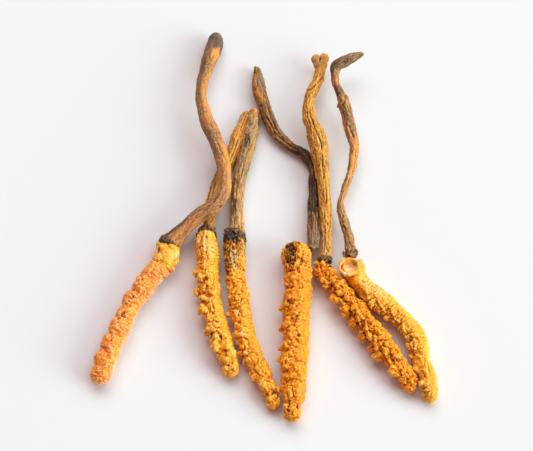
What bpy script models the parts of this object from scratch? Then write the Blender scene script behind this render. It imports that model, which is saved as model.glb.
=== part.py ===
"""Six dried cordyceps fungi lying fanned on a flat surface. Each is a ringed larva with a furrowed stalk grown from
its head. Metres, +Z up, and the stalks point along +Y. The origin is at the bottom centre."""

import math

import bmesh
import bpy
import numpy as np
from mathutils import Vector

MM = 0.001
UP = Vector((0, 0, 1))
BODY_SIDES = 12  # corners round a larva
STALK_SIDES = 10  # corners round a stalk
RINGS_PER_SEGMENT = 4  # two folds and two creases in each body segment
CREASES = (0.0, 1.0, 0.1, 0.7)  # how far each of a segment's rings sinks, as a share of its crease
STALK_RING_PITCH = 2.1  # mm between the rings of a stalk
SETTLED = 0.35  # mm: what lies this low has flattened on the surface
LEG_STEPS = ((0.6, 0.8), (0.4, 0.6))  # share of a leg's length, and how far it narrows by there
CRUST_COLOUR = (0.72, 0.33, 0.05)

# A route is (x, y, z, width) in millimetres, at the middle of the body, from the head to the tail. A leg is (share of
# the length, degrees round the body, length in mm), where 0 degrees is the left side as seen from above, 90 the top.
LARVAE = {
    "larva_1": dict(
        route=[
            (-22.7, -9.0, 2.8, 5.7), (-24.0, -12.4, 2.8, 5.8), (-26.5, -15.8, 2.9, 6.0), (-28.6, -19.2, 2.8, 5.6),
            (-30.8, -22.4, 2.6, 5.1), (-33.3, -28.6, 2.7, 5.4), (-35.9, -34.7, 2.6, 5.4), (-37.0, -37.8, 2.5, 5.2),
            (-38.0, -41.8, 2.3, 4.9),
        ],
        segments=9, crease=0.18, beads=0.03, ends=(0, 2.2), legs=[],
    ),
    "larva_2": dict(
        route=[
            (-13.8, -4.1, 2.5, 4.4), (-13.5, -8.0, 2.7, 5.5), (-13.3, -10.2, 2.7, 5.6), (-13.1, -16.3, 2.6, 5.2),
            (-12.3, -22.5, 2.6, 5.2), (-10.6, -28.6, 2.5, 5.0), (-8.7, -34.3, 2.3, 4.7), (-7.7, -37.6, 1.9, 3.9),
            (-7.4, -40.5, 1.6, 3.1),
        ],
        segments=9, crease=0.28, beads=0.10, ends=(1.2, 1.4),
        legs=[(0.31, 0, 1.2), (0.42, 0, 1.1), (0.54, 0, 1.0), (0.70, 0, 0.8), (0.81, 0, 0.5)],
    ),
    "larva_3": dict(
        route=[
            (-7.0, -6.2, 2.5, 5.0), (-6.7, -12.3, 2.5, 4.9), (-6.1, -18.5, 2.5, 5.0), (-5.4, -24.7, 2.5, 5.0),
            (-4.1, -30.5, 2.3, 4.7), (-2.0, -35.7, 2.2, 4.4), (0.4, -41.1, 2.0, 4.1), (1.7, -44.5, 1.7, 3.3),
            (1.9, -47.5, 1.4, 2.3),
        ],
        segments=10, crease=0.24, beads=0.07, ends=(0, 0.9),
        legs=[(0.36, 0, 0.8), (0.46, 0, 0.8), (0.69, 0, 0.8)],
    ),
    "larva_4": dict(
        route=[
            (7.4, -5.9, 3.0, 6.0), (7.7, -11.0, 3.1, 6.7), (8.0, -16.0, 3.1, 6.5), (7.8, -20.2, 3.1, 6.6),
            (7.4, -31.2, 3.1, 6.4), (7.0, -37.2, 3.0, 6.3), (6.8, -43.0, 2.7, 5.6), (6.6, -47.6, 2.1, 4.3),
            (6.5, -50.7, 1.7, 2.9),
        ],
        segments=10, crease=0.30, beads=0.08, ends=(2.4, 1.4),
        legs=[(0.21, 0, 0.5), (0.39, 0, 1.2), (0.49, 0, 1.2), (0.59, 0, 1.2), (0.67, 0, 1.1)],
        hollow=dict(centre=(7.2, -10.1, 6.3), radii=(1.1, 1.8, 1.2)),
    ),
    "larva_5": dict(
        route=[
            (12.5, -12.6, 2.0, 3.2), (14.6, -14.9, 2.2, 4.1), (16.7, -17.4, 2.3, 4.4), (21.0, -23.0, 2.3, 4.7),
            (25.4, -28.9, 2.5, 5.0), (29.2, -34.3, 2.4, 4.8), (32.6, -39.3, 1.9, 4.0), (34.2, -42.9, 1.5, 2.8),
        ],
        segments=10, crease=0.26, beads=0.22, ends=(1.2, 1.3),
        legs=[(0.36, -10, 1.0), (0.44, -10, 0.9), (0.54, -10, 1.0), (0.64, -10, 1.0), (0.74, -10, 0.6)],
    ),
    "larva_6": dict(
        route=[
            (19.8, -11.1, 2.8, 5.5), (20.7, -13.6, 2.8, 5.5), (22.8, -16.7, 2.5, 4.7), (24.2, -18.7, 2.4, 4.7),
            (26.3, -20.7, 2.4, 5.1), (31.7, -26.1, 2.4, 5.1), (35.1, -30.2, 2.3, 4.7), (36.2, -35.8, 2.1, 4.0),
            (37.6, -41.5, 2.0, 4.0), (37.7, -45.8, 1.6, 3.2),
        ],
        segments=10, crease=0.24, beads=0.08, ends=(2.2, 1.6),
        legs=[(0.36, -10, 0.7), (0.47, -10, 0.8), (0.56, -10, 0.8), (0.64, -10, 0.7)],
        hollow=dict(centre=(20.6, -13.6, 5.6), radii=(1.8, 1.8, 2.2)),
    ),
}

# A stalk's route runs from its foot on the head to its tip. Its flutes are the furrows along it: how many, how deep as
# a share of its radius, and how many turns they make. A forked tip is pinched between its two lobes.
STALKS = {
    "stalk_1": dict(
        route=[
            (-22.5, -8.3, 2.9, 5.5), (-22.0, -7.2, 3.1, 5.0), (-20.8, -5.8, 3.6, 4.1), (-19.3, -4.4, 4.0, 3.5),
            (-14.9, -0.7, 5.1, 3.7), (-12.1, 1.0, 5.6, 3.8), (-10.2, 3.6, 5.8, 3.6), (-9.4, 8.0, 5.8, 3.2),
            (-10.7, 15.6, 5.5, 3.5), (-13.9, 24.2, 4.8, 3.4), (-15.3, 30.7, 4.2, 2.9), (-14.5, 38.4, 3.3, 3.3),
            (-12.9, 44.5, 2.5, 4.3), (-12.0, 50.2, 2.1, 3.0),
        ],
        flutes=(5, 0.05, 0.4), ends=(0, 2.0), colour=(0.24, 0.12, 0.06),
    ),
    "stalk_2": dict(
        route=[
            (-13.5, -3.6, 2.2, 3.5), (-13.2, -2.2, 1.8, 2.8), (-12.9, 0.0, 1.6, 2.7), (-12.2, 5.0, 1.5, 3.0),
            (-10.5, 10.6, 1.5, 3.0), (-8.1, 16.1, 1.5, 3.0), (-6.3, 22.3, 1.4, 2.7), (-5.3, 25.5, 1.2, 2.1),
            (-3.9, 28.6, 1.0, 1.4),
        ],
        flutes=(5, 0.08, 0.3), ends=(0, 1.4), colour=(0.30, 0.15, 0.04),
    ),
    "stalk_3": dict(
        route=[
            (-6.9, -5.5, 2.5, 5.1), (-6.8, -4.6, 2.4, 4.3), (-6.6, -3.4, 2.2, 3.3), (-6.6, 1.2, 1.9, 2.9),
            (-6.3, 7.5, 1.9, 3.0), (-5.0, 14.3, 2.0, 3.4), (-3.3, 20.8, 2.1, 3.3), (-2.6, 25.5, 2.0, 2.6),
            (-2.4, 29.2, 1.6, 1.7),
        ],
        flutes=(5, 0.09, 0.2), ends=(0, 1.6), colour=(0.16, 0.10, 0.05),
    ),
    "stalk_4": dict(
        route=[
            (11.9, -8.2, 2.5, 2.2), (11.8, -6.4, 2.4, 2.5), (11.7, -4.0, 2.1, 2.9), (11.8, 0.0, 1.7, 2.8),
            (11.9, 6.5, 1.3, 2.3), (12.0, 11.8, 1.2, 2.3), (11.3, 14.6, 1.3, 2.4), (9.3, 17.0, 1.3, 2.3),
            (5.8, 19.3, 1.5, 2.3), (2.9, 22.3, 1.7, 2.6), (0.8, 27.0, 2.0, 3.0), (-0.8, 32.6, 1.9, 3.1),
            (-1.4, 37.3, 1.6, 2.5), (-2.1, 41.2, 1.2, 1.4),
        ],
        flutes=(5, 0.12, 0.3), ends=(0, 1.4), colour=(0.11, 0.07, 0.05),
    ),
    "stalk_5": dict(
        route=[
            (14.3, -11.5, 2.4, 3.0), (14.6, -9.9, 2.3, 2.7), (14.8, -4.1, 2.4, 2.6), (14.6, 4.4, 2.9, 2.8),
            (14.2, 8.4, 3.3, 3.1), (13.6, 14.4, 4.2, 4.0), (13.2, 17.7, 4.4, 4.4), (12.5, 20.6, 4.3, 4.3),
            (11.2, 25.2, 4.0, 3.2), (10.9, 28.0, 3.8, 2.7), (12.2, 33.4, 3.5, 2.7), (14.0, 38.4, 3.3, 2.7),
            (14.1, 40.9, 3.2, 4.5), (14.2, 42.8, 3.2, 3.3),
        ],
        flutes=(5, 0.12, 0.2), ends=(0, 0), colour=(0.28, 0.14, 0.04),
        fork=dict(length=4.2, pinch=0.6, lobes=1.2),
    ),
    "stalk_6": dict(
        route=[
            (20.4, -10.5, 2.7, 2.8), (20.3, -7.8, 2.6, 2.2), (19.8, -4.6, 2.6, 2.4), (18.5, 0.8, 2.7, 1.9),
            (18.5, 4.2, 2.8, 1.7), (20.2, 8.8, 3.0, 1.8), (21.7, 14.8, 3.3, 2.1), (21.6, 19.9, 3.7, 2.6),
            (20.5, 25.5, 4.2, 2.9), (19.1, 30.3, 4.8, 2.2), (17.8, 33.5, 5.2, 1.7), (17.5, 37.0, 5.8, 2.2),
            (18.6, 39.0, 6.1, 2.7), (22.4, 40.7, 6.6, 1.8), (24.6, 41.5, 7.0, 1.0),
        ],
        flutes=(5, 0.06, 0.4), ends=(0, 1.0), colour=(0.22, 0.09, 0.04),
    ),
}


def smooth_route(stations, steps=24):
    """A Catmull-Rom curve through the stations, with the distance along it."""
    knots = np.array(stations, float)
    knots = np.vstack([2 * knots[0] - knots[1], knots, 2 * knots[-1] - knots[-2]])
    t = np.linspace(0, 1, steps, endpoint=False)[:, None]
    spans = []
    for a, b, c, d in zip(knots, knots[1:], knots[2:], knots[3:]):
        spans.append(b + 0.5 * t * (c - a + t * (2 * a - 5 * b + 4 * c - d + t * (3 * (b - c) + d - a))))
    curve = np.vstack(spans + [knots[-2]])
    travelled = np.concatenate([[0], np.cumsum(np.linalg.norm(np.diff(curve[:, :3], axis=0), axis=1))])
    return curve, travelled


def read_along(curve, travelled, distance, reach=0.4):
    """Centre, direction and width of the route at a distance from its start, all in millimetres."""

    def read(place):
        return [float(np.interp(place, travelled, column)) for column in curve.T]

    centre, width = Vector(read(distance)[:3]), read(distance)[3]
    direction = Vector(read(distance + reach)[:3]) - Vector(read(distance - reach)[:3])
    return centre, direction.normalized(), width


def even_steps(length, count):
    return [length * step / count for step in range(count + 1)]


def rounded_end(distance, length, ends):
    """Share of the full width that is left near the two domed ends."""
    share = 1.0
    for gap, radius in ((distance, ends[0]), (length - distance, ends[1])):
        if gap < radius:
            share *= math.sqrt(1 - 0.9 * (1 - gap / radius) ** 2)
    return share


def extruded(bm, faces, keep=False):
    """The new faces at the end of an extrusion, with the old ones taken out unless they close its start."""
    grown = bmesh.ops.extrude_face_region(bm, geom=faces)["geom"]
    if not keep:
        bmesh.ops.delete(bm, geom=faces, context="FACES_ONLY")
    return [item for item in grown if isinstance(item, bmesh.types.BMFace)]


def grow(sides, distances, route, ends, shape):
    """A closed tube along the route: a capped circle, extruded ring by ring. shape(step, angle) gives the share of
    the radius there, and how far that corner leans ahead, in mm."""
    bm = bmesh.new()
    bmesh.ops.create_circle(bm, cap_ends=True, segments=sides, radius=1)
    cap = bm.faces[:][0]
    for step, distance in enumerate(distances):
        if step:
            cap = extruded(bm, [cap], keep=step == 1)[0]
        centre, direction, width = read_along(*route, distance)
        radius = width / 2 * rounded_end(distance, distances[-1], ends)
        side = direction.cross(UP).normalized()
        top = side.cross(direction)
        for number, loop in enumerate(cap.loops):
            angle = 2 * math.pi * (number + 0.5) / sides
            share, ahead = shape(step, angle)
            point = centre + radius * share * (math.cos(angle) * side + math.sin(angle) * top) + ahead * direction
            point.z = point.z if point.z > SETTLED else 0.0
            loop.vert.co = point * MM
    bmesh.ops.recalc_face_normals(bm, faces=bm.faces)
    return bm


def add_leg(bm, centre, direction, angle, length):
    """Draws the face nearest to this place on the body out into a blunt leg."""
    side = direction.cross(UP).normalized()
    outward = math.cos(angle) * side + math.sin(angle) * side.cross(direction)

    def nearness(face):
        offset = face.calc_center_median() / MM - centre
        return offset.dot(outward) - 2 * abs(offset.dot(direction))

    face = max(bm.faces, key=nearness)
    for reach, share in LEG_STEPS:
        face = bmesh.ops.extrude_discrete_faces(bm, faces=[face])["faces"][0]
        middle = face.calc_center_median()
        for vert in face.verts:
            vert.co = middle + (vert.co - middle) * share + outward * length * reach * MM


def finish(name, bm, material):
    bmesh.ops.recalc_face_normals(bm, faces=bm.faces)
    mesh = bpy.data.meshes.new(name)
    bm.to_mesh(mesh)
    bm.free()
    mesh.shade_smooth()
    mesh.materials.append(material)
    obj = bpy.data.objects.new(name, mesh)
    bpy.context.scene.collection.objects.link(obj)
    return obj


def sink_hollow(body, centre, radii, material):
    """Cuts an oval hollow, in mm, into the top of a head."""
    bm = bmesh.new()
    bmesh.ops.create_icosphere(bm, subdivisions=2, radius=MM)
    cutter = finish(body.name + "_hollow", bm, material)
    cutter.location = Vector(centre) * MM
    cutter.scale = radii
    cutter.hide_render = True
    cut = body.modifiers.new("hollow", "BOOLEAN")
    cut.operation = "DIFFERENCE"
    cut.object = cutter


def plain_material(name, colour, roughness):
    material = bpy.data.materials.new(name)
    material.use_nodes = True
    shader = material.node_tree.nodes["Principled BSDF"]
    shader.inputs["Base Color"].default_value = (*colour, 1)
    shader.inputs["Roughness"].default_value = roughness
    shader.inputs["Metallic"].default_value = 0
    return material


def make_larva(name, design, material):
    route = smooth_route(design["route"])
    length = float(route[1][-1])
    distances = even_steps(length, RINGS_PER_SEGMENT * design["segments"])
    radius = max(width for x, y, z, width in design["route"]) / 2

    def folds(step, angle):
        """Creases sink, deepest on the flanks, and the folds between them are beaded."""
        sunk = CREASES[(step + 3) % RINGS_PER_SEGMENT]
        flank = 1 + 0.35 * abs(math.cos(angle)) ** 3
        bead = design["beads"] * math.cos(BODY_SIDES / 2 * (angle - math.pi / BODY_SIDES) + math.pi * (step // 2))
        return 1 - (design["crease"] * flank * sunk + bead * (sunk - 1)) / radius, 0.0

    bm = grow(BODY_SIDES, distances, route, design["ends"], folds)
    for along, degrees, reach in design["legs"]:
        centre, direction, _ = read_along(*route, along * length)
        add_leg(bm, centre, direction, math.radians(degrees), reach)
    body = finish(name, bm, material)
    if "hollow" in design:
        sink_hollow(body, **design["hollow"], material=material)


def make_stalk(name, design):
    route = smooth_route(design["route"])
    length = float(route[1][-1])
    distances = even_steps(length, round(length / STALK_RING_PITCH))
    count, depth, turns = design["flutes"]
    fork = design.get("fork", dict(length=1, pinch=0, lobes=0))

    def furrows(step, angle):
        """Shallow flutes that wind along the stalk, and the two lobes of a forked tip."""
        flute = depth * math.cos(count * (angle + 2 * math.pi * turns * step / len(distances)))
        forked = max(0.0, 1 - (length - distances[step]) / fork["length"])
        pinch = fork["pinch"] * forked * math.sin(angle) ** 2
        return (1 + flute) * (1 - pinch), fork["lobes"] * forked * math.sin(2 * angle) ** 2

    bm = grow(STALK_SIDES, distances, route, design["ends"], furrows)
    finish(name, bm, plain_material(name, design["colour"], 0.7))


def main():
    for obj in list(bpy.data.objects):
        bpy.data.objects.remove(obj)
    crust = plain_material("larva_crust", CRUST_COLOUR, 0.75)
    for name, design in LARVAE.items():
        make_larva(name, design, crust)
    for name, design in STALKS.items():
        make_stalk(name, design)


main()
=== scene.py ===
import math
import random

import bmesh
import bpy
import numpy as np
from mathutils import Matrix, Vector, noise


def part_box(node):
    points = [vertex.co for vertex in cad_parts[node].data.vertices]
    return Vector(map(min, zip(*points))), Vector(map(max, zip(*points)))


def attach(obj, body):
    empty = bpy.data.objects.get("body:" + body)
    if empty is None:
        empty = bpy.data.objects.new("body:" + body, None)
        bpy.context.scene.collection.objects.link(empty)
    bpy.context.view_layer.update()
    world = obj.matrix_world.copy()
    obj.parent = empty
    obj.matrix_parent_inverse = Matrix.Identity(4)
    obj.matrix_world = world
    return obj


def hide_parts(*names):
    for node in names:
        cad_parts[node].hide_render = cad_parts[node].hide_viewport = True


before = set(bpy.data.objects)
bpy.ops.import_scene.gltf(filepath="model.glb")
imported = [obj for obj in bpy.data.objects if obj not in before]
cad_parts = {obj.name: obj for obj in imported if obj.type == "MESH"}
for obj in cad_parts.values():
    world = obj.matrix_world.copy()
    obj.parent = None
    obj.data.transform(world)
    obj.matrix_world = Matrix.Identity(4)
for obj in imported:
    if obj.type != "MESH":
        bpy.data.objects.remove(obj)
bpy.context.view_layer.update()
noise.seed_set(5)  # without it noise_vector differs from run to run

# Pieces are modelled in millimetres, and brought to metres when they are finished.
mm = 0.001
usualRadius = 2.6  # mm, a middling larva, for small parts where that is near enough


# Routes and places on the skin

def soft(start, end, value):
    # 0 before start, 1 past end, smooth between them
    share = np.clip((value - start) / (end - start), 0, 1)
    return share * share * (3 - 2 * share)


def unit(vectors):
    return vectors / np.linalg.norm(vectors, axis=-1, keepdims=True)


def smoothRoute(stations, domes):
    # a Catmull-Rom curve through (x, y, z, width) stations in mm, read again at even steps
    readings, step = 24, 0.1  # points between two stations, and mm between the even steps
    knots = np.array(stations, float)
    knots = np.vstack([2 * knots[0] - knots[1], knots, 2 * knots[-1] - knots[-2]])
    t = np.linspace(0, 1, readings, endpoint=False)[:, None]
    spans = []
    for a, b, c, d in zip(knots, knots[1:], knots[2:], knots[3:]):
        spans.append(b + 0.5 * t * (c - a + t * (2 * a - 5 * b + 4 * c - d + t * (3 * (b - c) + d - a))))
    curve = np.vstack(spans + [knots[-2]])
    travelled = np.concatenate([[0], np.cumsum(np.linalg.norm(np.diff(curve[:, :3], axis=0), axis=1))])
    along = np.arange(0, travelled[-1] + step / 2, step)
    read = np.stack([np.interp(along, travelled, column) for column in curve.T], axis=1)
    ahead = unit(np.gradient(read[:, :3], axis=0))
    left = unit(np.cross(ahead, (0, 0, 1)))
    left *= -np.sign(left[0, 0])  # the left side as the photo shows it
    top = np.cross(left, ahead)
    top *= np.sign(top[:, 2:])
    return dict(along=along, centre=read[:, :3], width=read[:, 3], ahead=ahead, left=left, top=top,
                length=along[-1], domes=domes)


def readRoute(route, place):
    # the centre, the three directions and the width at this place
    found = []
    for name in ("centre", "ahead", "left", "top"):
        found.append(np.array([np.interp(place, route["along"], column) for column in route[name].T]))
    return (*found, float(np.interp(place, route["along"], route["width"])))


def domed(route, place):
    # how far a rounded end draws the skin in, as a share of the radius
    share = 1.0
    for gap, dome in ((place, route["domes"][0]), (route["length"] - place, route["domes"][1])):
        if dome and gap < dome:
            share *= math.sqrt(1 - 0.97 * (1 - max(gap, 0) / dome) ** 2)  # 0.97 keeps a small flat tip
    return share


def skinPlace(route, along, degrees, lift):
    # degrees run from the left side (0) over the top (90) to the right side (180)
    centre, ahead, left, top, width = readRoute(route, along)
    turn = math.radians(degrees)
    outward = math.cos(turn) * left + math.sin(turn) * top
    extra = min(0, along) + max(0, along - route["length"])  # past an end, straight on
    return centre + ahead * extra + outward * (width / 2 * domed(route, along) + lift), ahead, outward


# Solid forms

def growTube(route, swell, sides):
    # a capped circle, extruded ring by ring; swell(place, degrees) gives the share of the radius
    pitch = 0.3  # mm from ring to ring
    bm = bmesh.new()
    bmesh.ops.create_circle(bm, cap_ends=True, segments=sides, radius=1)
    cap = bm.faces[:][0]
    degrees = np.arange(sides) * 360 / sides
    length = route["length"]
    for place in np.linspace(0, length, round(length / pitch)):
        if place > 0:
            grown = bmesh.ops.extrude_face_region(bm, geom=[cap])["geom"]
            if place > pitch * 1.5:  # the first cap stays, to close the tube
                bmesh.ops.delete(bm, geom=[cap], context="FACES_ONLY")
            cap = [item for item in grown if isinstance(item, bmesh.types.BMFace)][0]
        centre, _, left, top, width = readRoute(route, place)
        radius = width / 2 * swell(place, degrees) * domed(route, place)
        for loop, turn, reach in zip(cap.loops, np.radians(degrees), radius):
            point = centre + reach * (math.cos(turn) * left + math.sin(turn) * top)
            loop.vert.co = (point[0], point[1], max(point[2], 0))
    bmesh.ops.recalc_face_normals(bm, faces=bm.faces)
    return bm


lumpMesh = bpy.data.meshes.new("lump")
lumpShape = bmesh.new()
bmesh.ops.create_icosphere(lumpShape, subdivisions=2, radius=1)
lumpShape.to_mesh(lumpMesh)
lumpShape.free()


def addLump(bm, route, along, degrees, size, lift):
    # an oval lump; size is (ahead, around, outward) in mm
    spot, ahead, outward = skinPlace(route, along, degrees, lift)
    axes = np.array([ahead, np.cross(outward, ahead), outward]) * np.array(size)[:, None]
    shaped = lumpMesh.copy()
    shaped.transform(Matrix.Translation(spot) @ Matrix(axes.T.tolist()).to_4x4())
    bm.from_mesh(shaped)
    bpy.data.meshes.remove(shaped)


def addRope(bm, route, places, radius, lift):
    # lumps strung along (along, degrees) places, so close that they read as one raised fold
    for (a0, d0), (a1, d1) in zip(places, places[1:]):
        gap = math.hypot(a1 - a0, math.radians(d1 - d0) * usualRadius)
        count = max(2, round(gap / (radius * 0.55)))
        for number in range(count):
            share = number / count
            addLump(bm, route, a0 + (a1 - a0) * share, d0 + (d1 - d0) * share, (radius,) * 3, lift)


def addKnob(bm, route, dice, along, degrees, radius, lift, friends):
    # a round knob with smaller lumps crowded against its foot
    addLump(bm, route, along, degrees, (radius, radius, radius * 1.05), lift)
    for number in range(friends):
        turn = 2 * math.pi * (number + dice.random() * 0.7) / max(1, friends)
        reach = radius * dice.uniform(0.75, 1.05)
        small = radius * dice.uniform(0.38, 0.6)
        aside = math.degrees(reach * math.sin(turn) / usualRadius)
        lifted = lift + dice.uniform(-0.2, 0.3) * radius
        addLump(bm, route, along + reach * math.cos(turn), degrees + aside, (small,) * 3, lifted)


def addBall(bm, centre, radii):
    ball = lumpMesh.copy()
    ball.transform(Matrix.Translation(centre) @ Matrix.Diagonal((*radii, 1)))
    bm.from_mesh(ball)
    bpy.data.meshes.remove(ball)


def addRing(bm, dice, centre, reach, thick, lean):
    # an uneven rolled rim round a cup
    for turn in np.linspace(0, 2 * math.pi, 34, endpoint=False):
        radius = thick * (1 + 0.16 * math.sin(3 * turn + 1) + dice.uniform(-0.06, 0.06))
        up = lean * math.sin(turn + 2.5) + dice.uniform(-0.05, 0.05)
        spot = (math.cos(turn) * reach[0], math.sin(turn) * reach[1], up)
        addBall(bm, np.add(centre, spot), (radius,) * 3)


def addLeg(bm, route, along, degrees, radius, reach):
    # a stubby cone of six lumps, rooted a little under the skin
    for share in np.linspace(0, 1, 6):
        thick = radius * (1 - 0.48 * share)
        addLump(bm, route, along + 0.1 * share, degrees, (thick,) * 3, reach * share - 0.15)


def addCrumbs(bm, route, dice, count, alongs, degrees, sizes, lift):
    # small uneven lumps thrown over a stretch of the skin; lift is a share of their size
    for _ in range(count):
        size = dice.uniform(*sizes)
        stretch = [size * dice.uniform(0.75, 1.3) for _ in range(3)]
        addLump(bm, route, dice.uniform(*alongs), dice.uniform(*degrees), stretch, lift * size)


def linked(name, bm):
    mesh = bpy.data.meshes.new(name)
    bm.to_mesh(mesh)
    bm.free()
    obj = bpy.data.objects.new(name, mesh)
    bpy.context.scene.collection.objects.link(obj)
    return obj


def fused(name, bm, voxel, hollows=()):
    # joins the lumps and the tube into one skin, and cuts the hollows
    for vert in bm.verts:
        vert.co.z = max(vert.co.z, 0)
    rough = linked(name + "Rough", bm)
    helpers = [rough]
    remesh = rough.modifiers.new("fuse", "REMESH")
    remesh.mode, remesh.voxel_size = "VOXEL", voxel
    for number, hollow in enumerate(hollows):
        cutterShape = bmesh.new()
        bmesh.ops.create_icosphere(cutterShape, subdivisions=3, radius=1)
        turn = Matrix.Rotation(math.radians(hollow["lean"]), 4, hollow["about"])
        place = Matrix.Translation(hollow["centre"]) @ turn @ Matrix.Diagonal((*hollow["radii"], 1))
        bmesh.ops.transform(cutterShape, matrix=place, verts=cutterShape.verts)
        cutter = linked(f"{name}Hollow{number}", cutterShape)
        helpers.append(cutter)
        cut = rough.modifiers.new("cut", "BOOLEAN")
        cut.operation, cut.object, cut.solver = "DIFFERENCE", cutter, "EXACT"
    if hollows:
        again = rough.modifiers.new("even", "REMESH")
        again.mode, again.voxel_size = "VOXEL", voxel
    graph = bpy.context.evaluated_depsgraph_get()
    solid = bpy.data.meshes.new_from_object(rough.evaluated_get(graph))
    for helper in helpers:
        bpy.data.objects.remove(helper)
    return solid


# The skin: where each vertex lies, its relief and its stains

def readMesh(mesh):
    count = len(mesh.vertices)
    points, normals = np.empty(count * 3), np.empty(count * 3)
    mesh.vertices.foreach_get("co", points)
    mesh.vertices.foreach_get("normal", normals)
    edges = np.empty(len(mesh.edges) * 2, int)
    mesh.edges.foreach_get("vertices", edges)
    return points.reshape(-1, 3), normals.reshape(-1, 3), edges.reshape(-1, 2)


def readSkin(mesh, route):
    points, normals, _ = readMesh(mesh)
    centre, nearest = route["centre"], []
    for part in np.array_split(points, 1 + len(points) // 8000):  # batches spare the memory
        gaps = (part ** 2).sum(1)[:, None] - 2 * part @ centre.T + (centre ** 2).sum(1)
        nearest.append(gaps.argmin(1))
    nearest = np.concatenate(nearest)
    offset = points - centre[nearest]
    beyond = (offset * route["ahead"][nearest]).sum(1)
    side = (offset * route["left"][nearest]).sum(1)
    top = (offset * route["top"][nearest]).sum(1)
    degrees = (np.degrees(np.arctan2(top, side)) + 90) % 360 - 90  # -90 is the belly's middle
    along = route["along"][nearest] + beyond
    straight = np.stack([side, top, along], axis=1)
    radius = route["width"][nearest] / 2
    return dict(points=points, normals=normals, along=along, degrees=degrees, straight=straight,
                radius=radius, arc=np.radians(degrees) * radius)


def wander(skin, size, stretch=1.0, seed=0.0, octaves=1):
    # plain noise on the skin, -1 to 1; size in mm, stretch makes it longer along the piece
    coords = skin["straight"] / (size, size, size * stretch) + seed
    if octaves == 1:
        return np.array([noise.noise(place) for place in coords.tolist()])
    return np.array([noise.fractal(place, 1.0, 2.0, octaves) for place in coords.tolist()])


def warped(skin, size, stretch, seed, warp):
    # places in a noise of this size, pushed about so that its cells come out uneven
    coords = skin["straight"] / (size, size, size * stretch) + seed
    return coords + warp * np.array([noise.noise_vector(place) for place in (coords * 0.8).tolist()])


def lumpy(skin, size, stretch, seed):
    # crowded round lumps with creases between them; also how deep in a crease each place is
    found = [noise.voronoi(place)[0] for place in warped(skin, size, stretch, seed, 0.6).tolist()]
    first, second = np.array([near[:2] for near in found]).T
    pillow = 1 - (1 - np.clip((second - first) / 0.6, 0, 1)) ** 2
    return 0.45 * pillow + 0.55 * (1 - (first / 0.8) ** 2) - 0.6, np.exp(-((second - first) / 0.11) ** 2)


def puffy(skin, size, stretch, seed):
    # uneven swellings, large and small, with sharp valleys; also how deep in a valley each place is
    coords = warped(skin, size, stretch, seed, 0.6)
    large, small = (np.abs([noise.noise(place) for place in (coords * finer + finer).tolist()])
                    for finer in (1, 2.3))
    return large ** 0.7 + 0.45 * small ** 0.7 - 0.5, np.exp(-(large / 0.05) ** 2)


def flaky(skin, size, stretch, seed, warp=0.7):
    # thin raised folds wandering over the skin, 0 to 1, with no creases
    wave = np.abs([noise.noise(place) for place in warped(skin, size, stretch, seed, warp).tolist()])
    return np.exp(-(wave / 0.11) ** 1.4), np.zeros(len(wave))


def grooved(skin, size, stretch, seed):
    # sharp grooves with rounded backs between them, about -0.5 to 0.4, and how deep in a groove
    wave = np.abs([noise.noise(place) for place in warped(skin, size, stretch, seed, 0.35).tolist()])
    return np.sqrt(wave) - 0.5, np.exp(-(wave / 0.05) ** 2)


def across(skin, degrees):
    # distance round the skin from this angle, in mm
    return np.radians((skin["degrees"] - degrees + 180) % 360 - 180) * skin["radius"]


def nearPath(skin, places):
    # distance on the skin from a drawn line of (along, degrees) places, in mm
    best = np.full(len(skin["along"]), 99.0)
    for (a0, d0), (a1, d1) in zip(places, places[1:]):
        reach = np.stack([skin["along"] - a0, across(skin, d0)], axis=1)
        span = np.stack([np.full(len(best), a1 - a0), math.radians(d1 - d0) * skin["radius"]], axis=1)
        share = np.clip((reach * span).sum(1) / (span ** 2).sum(1), 0, 1)
        best = np.minimum(best, np.linalg.norm(reach - share[:, None] * span, axis=1))
    return best


def stains(skin, patches, kind, ragged):
    # the patches of this kind are (along, degrees, half length, half width, strength)
    total = np.zeros(len(skin["along"]))
    for along, degrees, halfLength, halfWidth, strength in patches.get(kind, []):
        reach = np.hypot((skin["along"] - along) / halfLength, across(skin, degrees) / halfWidth)
        total = np.maximum(total, strength * soft(1.3, 0.7, reach + 0.4 * ragged))
    return total


def blurred(values, edges, rounds):
    # each vertex is drawn towards the mean of its neighbours, again and again
    count, (one, other) = len(values), edges.T
    neighbours = np.bincount(edges.ravel(), minlength=count)[:, None]
    for _ in range(rounds):
        total = np.stack([np.bincount(one, column[other], count) + np.bincount(other, column[one], count)
                          for column in values.T], axis=1)
        values = 0.4 * values + 0.6 * total / neighbours
    return values


def height(points, normals, edges, rounds):
    # how far the skin stands above its own smoothed shape, in mm
    return ((points - blurred(points, edges, rounds)) * normals).sum(1)


def seamSide(skin, seam):
    # 1 on the rough left of the seam, 0 on the smooth right; the seam is (along, degrees) places
    alongs, degrees = zip(*seam)
    edge = np.interp(skin["along"], alongs, degrees)
    blend = 14  # degrees either way
    return soft(blend, -blend, skin["degrees"] - edge + 16 * wander(skin, 1.6, seed=5.5))


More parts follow.
